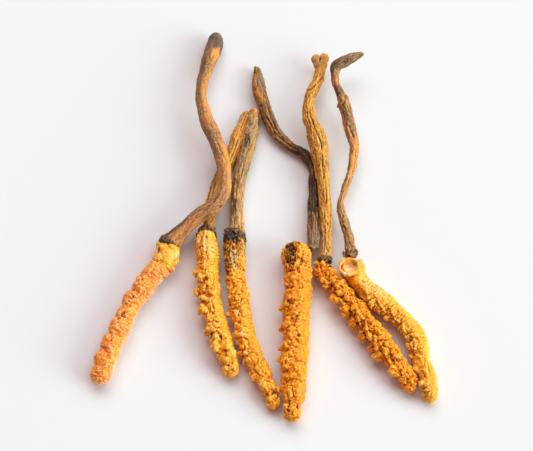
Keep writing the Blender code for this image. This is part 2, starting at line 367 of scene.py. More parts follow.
def layered(skin, layers, rough):
    # a layer is a texture with its size and height in mm, how much of it is left on the smooth side,
    # and the span of the route that it covers
    relief, crease = np.zeros(len(rough)), np.zeros(len(rough))
    for number, layer in enumerate(layers):
        tall = layer["tall"] * (rough + layer.get("smooth", 1) * (1 - rough))
        low, high = layer.get("span", (-99, 99))
        tall = tall * soft(low - 1, low + 1, skin["along"]) * soft(high + 1, high - 1, skin["along"])
        tall = tall * (1 + 0.6 * wander(skin, 2.1, seed=number + 4.4))
        shape, depth = layer["kind"](skin, layer["size"], layer.get("stretch", 1), number * 3.7 + 0.3)
        relief += tall * shape
        crease = np.maximum(crease, depth * np.clip(tall / 0.4, 0, 1))
    return relief, crease * soft(-0.35, 0.35, wander(skin, 2.6, seed=7.7))


def ringRows(skin, rows):
    # rings round the body, broken into beads; also gives each bead's own chance value
    sway = rows["sway"]
    phase = skin["along"] / rows["pitch"] + 0.8 * sway * wander(skin, 2.4, seed=8.3)
    phase += rows["lean"] * (skin["degrees"] - 90) / 90
    phase += rows["uneven"] * wander(skin, 0.8, seed=1.9)
    turn = skin["arc"] / rows["bead"] + 0.5 * np.floor(phase) + 0.6 * sway * wander(skin, 1.7, seed=3.3)
    ring, bead = np.abs(np.sin(math.pi * phase)) ** 0.7, np.abs(np.sin(math.pi * turn)) ** 0.5
    cells = np.stack([np.floor(phase), np.floor(turn), np.zeros(len(turn))], axis=1) + 0.5
    chance = np.array([noise.cell(place) for place in cells.tolist()])
    if rows["netted"]:
        # flat cells held in a net of thin raised lines; the second value is the net
        broken = soft(-0.6, 0.5, wander(skin, 0.9, seed=5.2))
        ahead = np.exp(-(np.abs(np.sin(math.pi * phase)) / 0.24) ** 2) * broken
        beside = np.exp(-(np.abs(np.sin(math.pi * turn)) / 0.18) ** 2) * chance
        net = np.maximum(ahead, beside)
        return net + 0.6 * (chance - 0.5), net
    ring = ring * (1 - rows["beadDepth"] + rows["beadDepth"] * bead) * (0.8 + 0.4 * chance)
    return ring - 0.5, chance


def crustRelief(skin, look):
    # slow swells, rings and the layers of lumps; also each bead's chance value and the creases
    rough, rows = seamSide(skin, look["seam"]), look["rows"]
    ring, chance = ringRows(skin, rows)
    relief = look["swells"] * wander(skin, 2.6, 1.2, seed=2.1)
    relief += rows["height"] * ring * (1 - rows["fade"] * rough) * (1 + 0.7 * wander(skin, 2.8, seed=4.4))
    lumps, crease = layered(skin, look["layers"], rough)
    return relief + lumps + 0.05 * wander(skin, 0.3, seed=1.7), chance, crease


def drawMarks(skin, marks):
    # grooves (negative) and ridges (positive) drawn on the skin, broken and ragged along their length
    relief = np.zeros(len(skin["along"]))
    ragged, broken = wander(skin, 0.6, seed=6.2), wander(skin, 1.3, seed=9.6)
    for places, halfWidth, tall in marks:
        band = np.exp(-((nearPath(skin, places) + 0.12 * ragged) / (halfWidth * (1 + 0.5 * broken))) ** 2)
        relief += tall * band * (0.75 + 0.6 * broken)
    return relief


def dressMesh(mesh, skin, relief, masks):
    # raises the relief, and stores on the vertices what the materials read
    points = skin["points"] + skin["normals"] * relief[:, None]
    points[:, 2] = np.maximum(points[:, 2], 0)
    mesh.vertices.foreach_set("co", points.ravel())
    mesh.update()
    points, normals, edges = readMesh(mesh)
    for name, rounds in (("fold", 10), ("rise", 60)):
        stands = height(points, normals, edges, rounds)
        masks[name] = np.clip(0.5 + 0.22 * stands / stands.std(), 0, 1)
    for name, values in masks.items():
        layer = mesh.attributes.new(name, "FLOAT", "POINT")
        layer.data.foreach_set("value", np.asarray(values, float))
    layer = mesh.attributes.new("straight", "FLOAT_VECTOR", "POINT")
    layer.data.foreach_set("vector", skin["straight"].ravel())


def finishPiece(name, mesh, material, node):
    mesh.transform(Matrix.Scale(mm, 4))
    mesh.materials.clear()
    mesh.materials.append(material)
    mesh.shade_smooth()
    mesh.name = name
    obj = bpy.data.objects.new(name, mesh)
    bpy.context.scene.collection.objects.link(obj)
    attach(obj, "root")
    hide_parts(node)
    (low, high), points = np.array(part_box(node)), readMesh(mesh)[0]
    spill = np.maximum(low - points.min(0), points.max(0) - high) / mm
    print(f"{name}: {len(mesh.loop_triangles)} triangles, past its solid by {spill.round(2).tolist()} mm")


# Shader maths

class Wire:
    # one socket of a material, so that shader maths reads as plain sums

    def __init__(self, tree, socket=None):
        self.tree, self.socket = tree, socket

    def node(self, kind, settings, sockets, output=0):
        made = self.tree.nodes.new(kind)
        for name, value in settings.items():
            setattr(made, name, value)
        for name, value in sockets.items():
            if isinstance(value, Wire):
                self.tree.links.new(value.socket, made.inputs[name])
            else:
                made.inputs[name].default_value = value
        return Wire(self.tree, made.outputs[output])

    def sums(self, operation, *values):
        return self.node("ShaderNodeMath", dict(operation=operation), dict(enumerate(values)))

    def __add__(self, other):
        return self.sums("ADD", self, other)

    __radd__ = __add__

    def __mul__(self, other):
        return self.sums("MULTIPLY", self, other)

    __rmul__ = __mul__

    def __sub__(self, other):
        return self.sums("SUBTRACT", self, other)

    def __rsub__(self, other):
        return self.sums("SUBTRACT", other, self)

    def between(self, low, high):
        # 0 below low, 1 above high, smooth between
        sockets = {"Value": self, "From Min": low, "From Max": high}
        return self.node("ShaderNodeMapRange", dict(interpolation_type="SMOOTHSTEP"), sockets)

    def layer(self, name, output=2):
        return self.node("ShaderNodeAttribute", dict(attribute_name=name), {}, output)

    def mix(self, first, second):
        # a colour between two colours, self being the share of the second
        first, second = ((*c, 1) if isinstance(c, tuple) else c for c in (first, second))
        return self.node("ShaderNodeMix", dict(data_type="RGBA"), {0: self, 6: first, 7: second}, 2)

    def speckle(self, size, stretch=1.0, detail=3.0, roughness=0.55, seed=0.0):
        # noise on the piece's own straightened coordinates, in mm
        place = self.layer("straight", 1)
        scale = (1 / size, 1 / size, 1 / (size * stretch))
        scaled = self.node("ShaderNodeVectorMath", dict(operation="MULTIPLY"), {0: place, 1: scale})
        moved = self.node("ShaderNodeVectorMath", dict(operation="ADD"), {0: scaled, 1: (seed, seed, seed)})
        sockets = dict(Vector=moved, Scale=1.0, Detail=detail, Roughness=roughness)
        return self.node("ShaderNodeTexNoise", {}, sockets)


def newMaterial(name, plain):
    # plain holds the sockets that are the same all over
    material = bpy.data.materials.new(name)
    material.use_nodes = True
    shader = material.node_tree.nodes["Principled BSDF"]
    for socket, value in plain.items():
        shader.inputs[socket].default_value = value
    return material, shader, Wire(material.node_tree)


def connect(value, shader, socket):
    value.tree.links.new(value.socket, shader.inputs[socket])


def addBump(grain, shader, strength, depth):
    # depth in mm
    sockets = dict(Strength=strength, Distance=depth * mm, Height=grain)
    connect(grain.node("ShaderNodeBump", {}, sockets), shader, "Normal")


def crustMaterial(name, tone):
    material, shader, wire = newMaterial(name, {
        "Coat Roughness": 0.12, "Specular IOR Level": 0.2, "Subsurface Weight": 0.1,
        "Subsurface Radius": (1.0, 0.45, 0.15), "Subsurface Scale": 0.5 * mm})
    names = ("fold", "rise", "crease", "char", "soot", "glow", "frost", "pale")
    fold, rise, crease, char, soot, glow, frost, pale = (wire.layer(name) for name in names)
    seed = tone["seed"]
    patchy = wire.speckle(2.2, seed=seed).between(0.36, 0.66)
    grain = wire.speckle(0.42, seed=seed + 3, detail=2).between(0.3, 0.7)
    fleck = wire.speckle(0.8, seed=seed + 6).between(0.42, 0.68)
    cloud = wire.speckle(0.8, seed=5).between(0.3, 0.7)
    colour = patchy.mix(tone["mid"], tone["light"])
    colour = (0.35 * fleck).mix(colour, tone["mottleAndShade"])
    colour = (rise.between(0.45, 0.08) * 0.85).mix(colour, tone["mottleAndShade"])  # painted shade in broad hollows
    colour = (fold.between(0.47, 0.16) * 0.8).mix(colour, tone["mottleAndShade"])  # painted shade in small hollows
    # painted highlight: the crests of the lumps turn golden
    colour = (fold.between(0.55, 0.88) * (1 - 0.35 * grain) * 0.9).mix(colour, tone["goldAndHighlight"])
    # frost, which on the first larva's flanks is also painted sheen
    colour = (frost * (0.6 + 0.4 * fold.between(0.3, 0.7))).mix(colour, tone["frost"])
    colour = (glow * fold.between(0.1, 0.45)).mix(colour, tone["glow"])
    # pale colour, brighter on the crests as painted highlight; on the first larva's head the pale patches are
    # painted glints
    colour = (pale * (0.45 + 0.55 * fold.between(0.3, 0.8))).mix(colour, tone["pale"])
    # painted shade: darkest in the deepest hollows and along the creases
    deepestShade = fold.between(0.32 + tone["deep"], 0.05 + tone["deep"]) * rise.between(0.8, 0.3)
    colour = (deepestShade * (1 - 0.5 * glow)).mix(colour, tone["creviceShade"])
    colour = (crease * fold.between(0.6, 0.25) * 0.5).mix(colour, tone["creviceShade"])
    burnt = char * (0.48 + 0.55 * cloud + 0.45 * fold.between(0.62, 0.3))  # real dark patches, with more of them in the hollows as painted shade
    colour = burnt.between(0.05, 0.95).mix(colour, tone["char"])
    colour = (soot * (0.7 + 0.5 * grain)).between(0.1, 0.9).mix(colour, tone["soot"])
    connect(colour, shader, "Base Color")
    connect(tone["roughness"] + 0.16 * grain - 0.2 * glow, shader, "Roughness")
    connect(0.7 * glow * fleck.between(0.8, 0.0), shader, "Coat Weight")
    addBump(wire.speckle(0.22, seed=2) + 0.6 * wire.speckle(0.55, seed=4, detail=2), shader, 0.6, 0.08)
    return material


def barkMaterial(name, tone):
    material, shader, wire = newMaterial(name, {
        "Specular IOR Level": 0.18, "Subsurface Weight": 0.05,
        "Subsurface Radius": (1.0, 0.45, 0.2), "Subsurface Scale": 0.4 * mm})
    names = ("fold", "rise", "crease", "char", "ash", "glow")
    fold, rise, crease, char, ash, glow = (wire.layer(name) for name in names)
    seed = tone["seed"]
    streak = wire.speckle(0.75, stretch=7, seed=seed, detail=4).between(0.38, 0.62)
    patchy = wire.speckle(1.5, stretch=2.5, seed=seed + 4).between(0.38, 0.64)
    grain = wire.speckle(0.3, stretch=1.8, seed=seed + 7, detail=2).between(0.3, 0.7)
    flecks = wire.speckle(0.42, stretch=2.2, seed=seed + 9, detail=4, roughness=0.65)
    colour = streak.mix(tone["mid"], tone["light"])
    colour = (patchy * tone["mottle"]).mix(colour, tone["mottleAndShade"])
    colour = (0.3 * grain).mix(colour, tone["mottleAndShade"])
    colour = (flecks.between(0.52, 0.36) * 0.5).mix(colour, tone["goldAndHighlight"])  # golden flecks
    colour = (flecks.between(0.54, 0.68) * 0.65).mix(colour, tone["char"])  # dark flecks
    colour = (glow * (0.7 + 0.3 * streak)).mix(colour, tone["glow"])
    colour = (ash * (0.75 + 0.35 * grain)).mix(colour, tone["ash"])
    colour = (char * (0.8 + 0.4 * streak)).between(0.0, 1.0).mix(colour, tone["char"])
    # painted highlight on the ridges
    colour = (fold.between(0.55, 0.95) * 0.55 * (1 - 0.6 * char)).mix(colour, tone["goldAndHighlight"])
    # painted shade in the broad hollows, the furrows and the creases
    colour = (rise.between(0.45, 0.12) * 0.5).mix(colour, tone["mottleAndShade"])
    colour = (fold.between(0.45, 0.1) * tone["furrowShade"]).mix(colour, tone["creviceShade"])
    colour = (crease * fold.between(0.65, 0.35) * 0.65 * tone["furrowShade"]).mix(colour, tone["creviceShade"])
    connect(colour, shader, "Base Color")
    connect(tone["roughness"] + 0.15 * grain, shader, "Roughness")
    addBump(wire.speckle(0.28, stretch=3, seed=2, detail=4) + 0.5 * grain, shader, 0.5, 0.06)
    return material


# Larvae

crustVoxel = 0.14  # mm, the grain of the fused skin
# the darker tones also paint shade in the hollows and creases, and the golden crest tone paints highlights on
# the crests
crustTone = dict(
    mid=(0.88, 0.29, 0.010), light=(0.95, 0.40, 0.020), mottleAndShade=(0.62, 0.155, 0.005), goldAndHighlight=(0.99, 0.57, 0.10),
    creviceShade=(0.20, 0.04, 0.003), frost=(0.93, 0.60, 0.40), glow=(0.98, 0.43, 0.012), pale=(0.98, 0.72, 0.33),
    char=(0.11, 0.035, 0.010), soot=(0.035, 0.026, 0.021), roughness=0.38, deep=0.0,
)
plainRows = dict(  # the rings: pitch and bead in mm
    pitch=0.74, bead=0.8, beadDepth=0.4, fade=0.85, lean=0.0, sway=1, uneven=0, netted=False,
)


def buildLarva(name, node, look):
    route = smoothRoute(look["route"], look["domes"])
    dice = random.Random(look["seed"])

    def swell(place, degrees):
        share = np.ones(len(degrees))
        for along, depth, facing in look["waists"]:
            turned = 1
            if facing is not None:
                turned = 0.15 + 0.85 * np.clip(np.cos(np.radians(degrees - facing)), 0, 1)
            share = share - depth / usualRadius * turned * math.exp(-((place - along) / 0.7) ** 2)
        return share

    bm = growTube(route, swell, sides=44)
    for along, degrees, size, lift in look.get("lumps", []):
        addLump(bm, route, along, degrees, size, lift)
    for along, degrees, radius, lift, friends in look.get("knobs", []):
        addKnob(bm, route, dice, along, degrees, radius, lift, friends)
    for leg in look.get("legs", []):
        addLeg(bm, route, *leg)
    for places, radius, lift in look.get("ropes", []):
        addRope(bm, route, places, radius, lift)
    for ring in look.get("rings", []):
        addRing(bm, dice, **ring)
    for crumbs in look.get("crumbs", []):
        addCrumbs(bm, route, dice, *crumbs)
    mesh = fused(name, bm, look.get("voxel", crustVoxel), look.get("hollows", []))
    skin, patches = readSkin(mesh, route), look["patches"]
    relief, chance, crease = crustRelief(skin, look)
    ragged = wander(skin, 1.1, seed=3.9, octaves=2)
    calm = 1 - 0.85 * stains(skin, patches, "calm", ragged)
    kinds = ("char", "soot", "glow", "pale", "frost")
    masks = {kind: stains(skin, patches, kind, ragged) for kind in kinds}
    # painted sheen of light through the thin sides: frost fills the flanks, while on the top only some beads
    # keep the net's real frost
    rimSheen = soft(0.62, 0.2, skin["straight"][:, 1] / skin["radius"])
    masks["frost"] = masks["frost"] * np.maximum(chance, rimSheen) * soft(-0.9, 0.3, wander(skin, 1.3, seed=2.8))
    masks["crease"] = crease * calm
    dressMesh(mesh, skin, relief * calm + drawMarks(skin, look["marks"]), masks)
    tone = dict(crustTone, **look["tone"])
    finishPiece(name, mesh, crustMaterial(name + "Crust", tone), node)


# In the dictionaries a place on the skin is the mm along the route and the degrees round it.
# route: x, y, z, width. waists: mm along, depth, the side they face. lumps: place, size, lift.
# knobs: place, radius, lift, lumps at the foot. ropes: places, radius, lift. legs: place, radius, reach.
# crumbs: count, spans along and round, sizes, lift. marks: places, half width, height.

# far left: a fine net of rings with frost on it, a glossy amber head, and flanks paled with painted sheen
larva1 = dict(
    seed=11, domes=(0.0, 2.3), swells=0.22,
    route=[
        (-22.5, -8.4, 2.8, 5.4), (-22.7, -9.0, 2.8, 5.7), (-23.8, -12.4, 2.8, 5.5),
        (-26.5, -15.8, 2.9, 5.4), (-28.8, -19.3, 2.8, 5.2), (-30.8, -22.0, 2.6, 4.9),
        (-32.1, -25.2, 2.6, 5.1), (-33.4, -28.6, 2.7, 5.3), (-34.8, -31.8, 2.7, 5.3),
        (-35.9, -34.7, 2.6, 5.2), (-36.8, -37.6, 2.5, 5.1), (-37.8, -41.5, 2.3, 4.8),
    ],
    waists=[
        (9.5, 0.4, 20), (13.7, 0.65, 25), (17.6, 0.65, 25), (21.0, 0.6, 25), (25.0, 0.6, 25),
        (29.3, 0.55, 25), (33.0, 0.35, 25), (7.0, 0.35, 170), (19.5, 0.3, 175), (27.0, 0.25, 175),
        (4.9, 0.4, 90),
    ],
    lumps=[
        (1.4, 150, (1.9, 0.9, 0.8), -0.2), (2.8, 168, (1.3, 0.8, 0.8), -0.15),
        (4.3, 176, (0.6, 0.55, 0.5), 0.1), (0.3, 120, (0.7, 1.3, 0.5), 0.0),
        (0.2, 31, (0.5, 0.5, 0.5), 0.1), (2.2, 95, (1.6, 1.2, 0.45), -0.15),
        (3.6, 60, (1.2, 1.0, 0.45), -0.12), (1.0, 62, (0.8, 0.8, 0.4), -0.05),
    ],
    seam=[(0, -90), (40, -90)],
    rows=dict(
        plainRows, pitch=0.95, height=0.13, bead=1.2, netted=True, fade=0.0, lean=0.12, uneven=0.16,
        sway=0.5,
    ),
    layers=[dict(kind=puffy, size=2.4, tall=0.4), dict(kind=puffy, size=0.9, stretch=0.8, tall=0.2)],
    marks=[
        ([(1.0, 52), (2.8, 48)], 0.26, -0.4), ([(10.5, 75), (11.4, 62)], 0.3, -0.2),
        ([(15.0, 95), (16.0, 78)], 0.3, -0.28), ([(19.8, 88), (20.6, 70)], 0.3, -0.28),
    ],
    patches=dict(
        calm=[(1.7, 110, 2.6, 9, 0.55)],
        glow=[(1.8, 110, 3.0, 9, 1.0)],
        # the pale patches on the head are painted glints
        pale=[(1.6, 140, 1.0, 0.8, 0.5), (3.4, 80, 0.6, 1.2, 0.4)],
        frost=[(22, 90, 18.5, 12, 0.8)],
        char=[(1.9, 50, 1.2, 0.35, 0.7), (15.4, 88, 0.7, 0.6, 0.4), (20.2, 80, 0.8, 0.6, 0.45)],
    ),
    tone=dict(
        seed=1.3, mid=(0.89, 0.235, 0.009), light=(0.97, 0.39, 0.018), mottleAndShade=(0.7, 0.15, 0.012),
        goldAndHighlight=(0.99, 0.6, 0.24), creviceShade=(0.3, 0.07, 0.02), frost=(0.95, 0.6, 0.44),
    ),
)

# second: big knobs down the left side, and a wrinkled head with sooty flanks
larva2 = dict(
    seed=22, domes=(1.4, 1.6), swells=0.22,
    route=[
        (-13.7, -3.7, 2.4, 3.8), (-13.6, -6.5, 2.6, 5.0), (-13.3, -9.3, 2.7, 5.5),
        (-13.2, -12.8, 2.6, 5.2), (-13.0, -16.3, 2.6, 5.0), (-12.6, -19.6, 2.6, 4.8),
        (-12.2, -22.8, 2.6, 5.2), (-11.4, -26.1, 2.6, 5.0), (-10.4, -28.8, 2.5, 4.8),
        (-9.6, -31.8, 2.5, 4.9), (-8.6, -34.3, 2.3, 4.5), (-7.8, -36.9, 2.0, 4.0), (-7.5, -39.8, 1.8, 3.6),
    ],
    waists=[
        (13.6, 0.5, 20), (17.2, 0.6, 15), (22.6, 0.6, 15), (27.3, 0.5, 20), (31.2, 0.4, 60),
        (33.9, 0.5, 40),
    ],
    knobs=[
        (10.9, 3, 0.85, 0.35, 5), (12.7, 48, 0.8, 0.1, 6), (15.3, 0, 0.9, 0.45, 5),
        (17.6, 44, 0.9, 0.1, 4), (14.2, 84, 0.7, -0.2, 4), (22.6, 70, 1.0, -0.15, 4),
        (27.2, 66, 0.95, -0.05, 4), (33.0, 68, 1.0, -0.1, 4), (20.1, 36, 1.1, 0.2, 4),
        (20.3, -8, 0.5, 0.6, 3), (24.8, 40, 1.2, 0.1, 4), (25.1, -6, 0.8, 0.5, 4),
        (17.0, 108, 0.8, -0.3, 4), (29.2, 45, 1.25, 0.0, 3), (31.9, 105, 0.9, 0.0, 4),
        (35.0, 53, 0.65, 0.0, 4), (34.9, 100, 0.7, -0.1, 4), (27.5, 110, 0.8, -0.3, 4),
    ],
    ropes=[
        ([(18.0, 96), (19.3, 84), (21.0, 86), (22.2, 100)], 0.4, -0.12),
        ([(22.4, 92), (23.6, 78), (25.6, 80), (27.4, 96)], 0.42, -0.12),
        ([(29.6, 112), (30.8, 98), (33.0, 96)], 0.4, -0.1), ([(1.6, 84), (3.6, 76), (6.4, 74)], 0.42, 0.0),
    ],
    crumbs=[
        (16, (0.5, 12), (-20, 84), (0.4, 0.65), -0.45), (14, (9, 30), (-20, 70), (0.55, 0.85), -0.45),
        (8, (28, 35.5), (-20, 150), (0.45, 0.75), -0.45),
    ],
    seam=[(0, 108), (4, 98), (8, 86), (12, 90), (20, 104), (26, 106), (31, 116), (34, 150), (38, 190)],
    rows=dict(plainRows, pitch=0.72, height=0.09),
    layers=[
        dict(kind=puffy, size=2.5, tall=0.5, smooth=0.8),
        dict(kind=lumpy, size=1.6, tall=0.18, smooth=0.4),
        dict(kind=puffy, size=0.7, tall=0.14, smooth=0.8),
    ],
    marks=[
        ([(0.8, 98), (2.0, 90), (3.2, 96), (4.6, 84), (6.0, 90), (7.5, 78), (9.0, 84), (11.9, 74)], 0.16,
          -0.2), ([(2.6, 60), (5.0, 52), (8.0, 60), (10.0, 50)], 0.2, -0.22),
        ([(12.6, 82), (15.2, 74), (17.4, 80)], 0.3, -0.3),
        ([(18.9, 92), (20.6, 98), (22.8, 96)], 0.2, -0.25),
    ],
    patches=dict(
        char=[(13.8, 22, 0.9, 1.6, 0.3)],
        pale=[(3.4, 78, 3.0, 1.6, 0.3), (6.0, 110, 2.2, 1.0, 0.25), (11.0, 5, 1.0, 0.9, 0.2)],
        soot=[(0.9, 6, 2.8, 0.9, 1.0), (0.9, 170, 2.6, 0.7, 1.0), (-0.5, 90, 0.9, 3, 0.9)],
    ),
    tone=dict(
        seed=2.9, mid=(0.92, 0.34, 0.013), light=(0.97, 0.46, 0.028), goldAndHighlight=(0.99, 0.62, 0.13),
        mottleAndShade=(0.64, 0.17, 0.005), deep=-0.04,
    ),
)

# third: a charred, wrinkled head with painted shade down its left side, and a long thin tail
larva3 = dict(
    seed=33, domes=(0.0, 1.3), swells=0.24,
    route=[
        (-7.0, -5.6, 2.5, 4.8), (-6.9, -9.3, 2.5, 4.7), (-6.8, -12.3, 2.5, 4.5), (-6.6, -15.1, 2.5, 4.5),
        (-6.2, -18.5, 2.5, 4.6), (-5.8, -21.5, 2.5, 4.9), (-5.4, -24.7, 2.5, 4.9), (-4.8, -27.8, 2.4, 4.7),
        (-4.1, -30.5, 2.4, 4.6), (-3.2, -32.9, 2.3, 4.5), (-2.0, -35.5, 2.3, 4.3), (-0.8, -38.4, 2.2, 4.3),
        (0.5, -41.1, 2.1, 4.0), (1.5, -43.4, 1.9, 3.8), (2.0, -45.0, 1.7, 3.4), (2.1, -47.1, 1.6, 2.9),
    ],
    waists=[
        (9.2, 0.3, 15), (12.8, 0.45, 10), (16.8, 0.45, 10), (21.5, 0.35, 20), (26.2, 0.35, 20),
        (32.0, 0.3, 90), (36.5, 0.45, None), (39.8, 0.4, None),
    ],
    knobs=[
        (18.9, -2, 0.6, 0.45, 3), (24.0, -4, 0.65, 0.4, 3), (28.1, -6, 0.75, 0.35, 4),
        (30.2, -6, 0.7, 0.3, 4), (34.6, 20, 0.85, -0.1, 4), (37.4, 60, 0.8, -0.05, 4),
        (41.0, 64, 0.8, 0.05, 4), (39.8, 150, 0.7, 0.0, 3), (19.4, 67, 0.7, -0.3, 2),
        (24.6, 64, 0.7, -0.3, 2), (28.7, 44, 0.6, -0.2, 2),
    ],
    ropes=[
        ([(36.6, 60), (37.2, 95), (37.4, 130)], 0.5, -0.2),
        ([(40.2, 110), (41.2, 84), (40.2, 60)], 0.4, -0.1),
        ([(0.9, 60), (1.6, 90), (1.0, 120)], 0.5, -0.1),
    ],
    crumbs=[
        (26, (2.0, 12), (-20, 160), (0.35, 0.6), -0.3), (30, (9, 19), (-20, 170), (0.3, 0.5), -0.3),
        (14, (17, 32), (-20, 50), (0.35, 0.6), -0.4), (14, (32, 43), (-10, 130), (0.4, 0.65), -0.45),
    ],
    seam=[(0, 180), (10, 180), (16, 185), (19, 130), (22, 80), (28, 78), (31, 120), (36, 160), (42, 220)],
    rows=dict(plainRows, pitch=0.72, height=0.07),
    layers=[
        dict(kind=puffy, size=2.4, tall=0.6, smooth=0.9, span=(9, 60)),
        dict(kind=lumpy, size=0.8, tall=0.3, smooth=0.5, span=(8, 19)),
        dict(kind=lumpy, size=1.3, tall=0.22, smooth=0.5, span=(19, 60)),
        dict(kind=lumpy, size=0.8, stretch=1.8, tall=0.45, span=(-3, 9)),
        dict(kind=flaky, size=0.8, stretch=2.6, tall=0.32, span=(-3, 9)),
        dict(kind=puffy, size=0.8, tall=0.22, smooth=1.0),
    ],
    marks=[
        ([(3.4, 80), (6.5, 84), (8.5, 92)], 0.3, -0.3), ([(4.0, 50), (8.0, 44)], 0.35, -0.35),
        ([(2.5, 104), (5.0, 112)], 0.25, -0.25), ([(33.8, 70), (35.2, 110)], 0.25, -0.3),
    ],
    patches=dict(
        # the long char patch at 10 degrees is painted shade on the left flank, away from the light; the
        # others are its own dark colour
        char=[
            (4.5, 10, 5.6, 2.0, 0.8), (2.2, 70, 1.8, 3.0, 0.62), (5.6, 54, 3.0, 1.6, 0.52),
            (3.6, 118, 2.2, 1.6, 0.45), (7.4, 110, 1.4, 0.8, 0.4), (13.9, 15, 1.6, 1.0, 0.4),
        ],
        soot=[(-0.2, 90, 1.7, 5.0, 1.0), (1.8, 174, 3.2, 0.9, 1.0)],
        glow=[(5.4, 100, 4.2, 2.6, 0.6)],
        pale=[
            (5.4, 88, 1.6, 1.0, 0.6), (7.8, 80, 1.2, 0.9, 0.5), (19.4, 67, 0.9, 0.8, 0.4),
            (24.6, 64, 0.8, 0.8, 0.35), (28.7, 44, 0.7, 0.7, 0.3),
        ],
    ),
    tone=dict(seed=4.4, mid=(0.92, 0.32, 0.012), light=(0.97, 0.44, 0.025)),
)

# fourth and fattest: pointed legs, a dark pit in the head, a smooth right side
larva4 = dict(
    seed=44, domes=(2.6, 1.2), swells=0.22, voxel=0.15,
    route=[
        (7.3, -7.1, 3.0, 4.9), (7.5, -9.2, 3.0, 6.2), (7.7, -11.0, 3.1, 6.6), (7.9, -13.5, 3.1, 6.1),
        (8.0, -16.5, 3.1, 6.3), (7.8, -20.2, 3.1, 6.4), (7.6, -23.9, 3.1, 6.3), (7.5, -27.6, 3.1, 6.2),
        (7.4, -31.2, 3.1, 6.1), (7.3, -34.1, 3.0, 6.1), (7.0, -37.2, 3.0, 6.2), (6.9, -40.2, 2.9, 5.9),
        (6.8, -43.0, 2.7, 5.6), (6.7, -45.3, 2.4, 4.9), (6.6, -47.1, 2.1, 4.2), (6.5, -50.2, 1.9, 3.7),
    ],
    waists=[
        (7.8, 0.35, 20), (12.0, 0.35, 10), (15.6, 0.5, 10), (20.4, 0.6, 10), (25.3, 0.7, 10),
        (32.4, 0.4, 10), (30.1, 0.25, 140), (34.2, 0.25, 100), (39.5, 0.42, None),
    ],
    knobs=[
        (9.6, 27, 0.5, 0.1, 4), (16.4, 34, 1.0, -0.1, 5), (21.4, 36, 1.05, -0.1, 5),
        (26.0, 38, 1.0, -0.1, 5), (29.8, 44, 1.0, -0.15, 5), (40.6, 40, 0.75, -0.1, 4),
        (42.0, 62, 0.75, -0.05, 5), (41.8, 130, 0.7, -0.1, 4), (17.2, 70, 1.0, -0.4, 4),
        (22.4, 66, 0.9, -0.35, 4),
    ],
    legs=[(16.6, -4, 0.85, 0.9), (21.6, -4, 0.8, 0.9), (26.2, -4, 0.85, 0.9), (29.2, -4, 0.8, 0.8)],
    ropes=[
        ([(1.6, 40), (0.9, 66), (1.6, 92), (3.0, 100), (5.4, 98), (7.2, 80), (7.4, 56), (6.0, 36), (4.0,
          28), (2.2, 30)], 0.42, 0.0), ([(2.2, 118), (4.0, 124), (6.4, 118), (8.6, 96)], 0.5, -0.1),
        ([(9.2, 92), (9.8, 60), (8.6, 30)], 0.45, -0.1), ([(3.4, 150), (6.6, 146)], 0.5, -0.15),
        ([(35.4, 82), (37.4, 92), (38.4, 104)], 0.3, -0.15),
        ([(41.2, 104), (42.4, 96), (42.4, 66), (41.4, 52)], 0.4, 0.0),
    ],
    hollows=[dict(centre=(6.5, -10.2, 6.1), radii=(0.95, 1.75, 1.5), lean=-16, about="Y")],
    crumbs=[
        (22, (2.0, 12), (20, 190), (0.4, 0.65), -0.4), (14, (10, 20), (-10, 190), (0.4, 0.6), -0.45),
        (30, (14, 34), (-20, 75), (0.45, 0.75), -0.35), (5, (34, 42.5), (-10, 150), (0.4, 0.6), -0.55),
    ],
    seam=[
        (0, 250), (6, 220), (9, 150), (14, 122), (18, 112), (22, 104), (28, 100), (34, 92), (38, 110),
        (41, 190), (45, 250),
    ],
    rows=dict(plainRows, pitch=0.95, height=0.15, bead=1.3, beadDepth=0.5, fade=0.3, uneven=0.3),
    layers=[
        dict(kind=puffy, size=2.6, tall=0.5, smooth=0.8),
        dict(kind=lumpy, size=1.1, stretch=0.8, tall=0.22, smooth=0.3),
        dict(kind=flaky, size=0.9, stretch=2.0, tall=0.4, span=(-3, 8)),
        dict(kind=puffy, size=0.8, tall=0.18, smooth=0.7),
    ],
    marks=[
        ([(1.4, 62), (2.2, 84), (4.2, 86), (6.2, 74), (6.6, 52), (5.0, 36), (2.6, 36), (1.4, 62)], 0.2,
          -0.35), ([(34.2, 60), (34.0, 96), (34.4, 130)], 0.2, -0.32),
        ([(30.2, 78), (29.8, 120), (30.3, 180)], 0.16, -0.22),
        ([(35.3, 76), (37.4, 86), (38.2, 101)], 0.22, -0.32),
        ([(34.6, 52), (38.5, 60), (41.0, 58)], 0.28, -0.3), ([(23.9, 98), (23.9, 103)], 0.36, -0.6),
        ([(40.0, 128), (40.1, 132)], 0.36, -0.55), ([(12.4, 95), (12.5, 99)], 0.3, -0.5),
    ],
    patches=dict(
        char=[
            (3.8, 60, 2.8, 1.6, 0.72), (0.8, 84, 1.2, 1.8, 0.6), (7.2, 58, 0.5, 1.2, 0.4),
            (4.0, 90, 4.0, 4.0, 0.22), (23.9, 100, 0.45, 0.4, 0.7), (40.0, 130, 0.5, 0.5, 0.6),
            (42.0, 80, 0.7, 0.7, 0.45), (18.5, 20, 1.4, 0.9, 0.25), (26.8, 39, 1.2, 0.9, 0.25),
            (39.1, 60, 1.6, 1.3, 0.25),
        ],
        soot=[(3.9, 58, 1.3, 0.6, 0.45), (1.0, 56, 1.0, 1.2, 0.6)],
    ),
    tone=dict(
        seed=6.1, mid=(0.87, 0.27, 0.008), light=(0.94, 0.36, 0.014), mottleAndShade=(0.58, 0.145, 0.004),
        goldAndHighlight=(0.99, 0.53, 0.07),
    ),
)

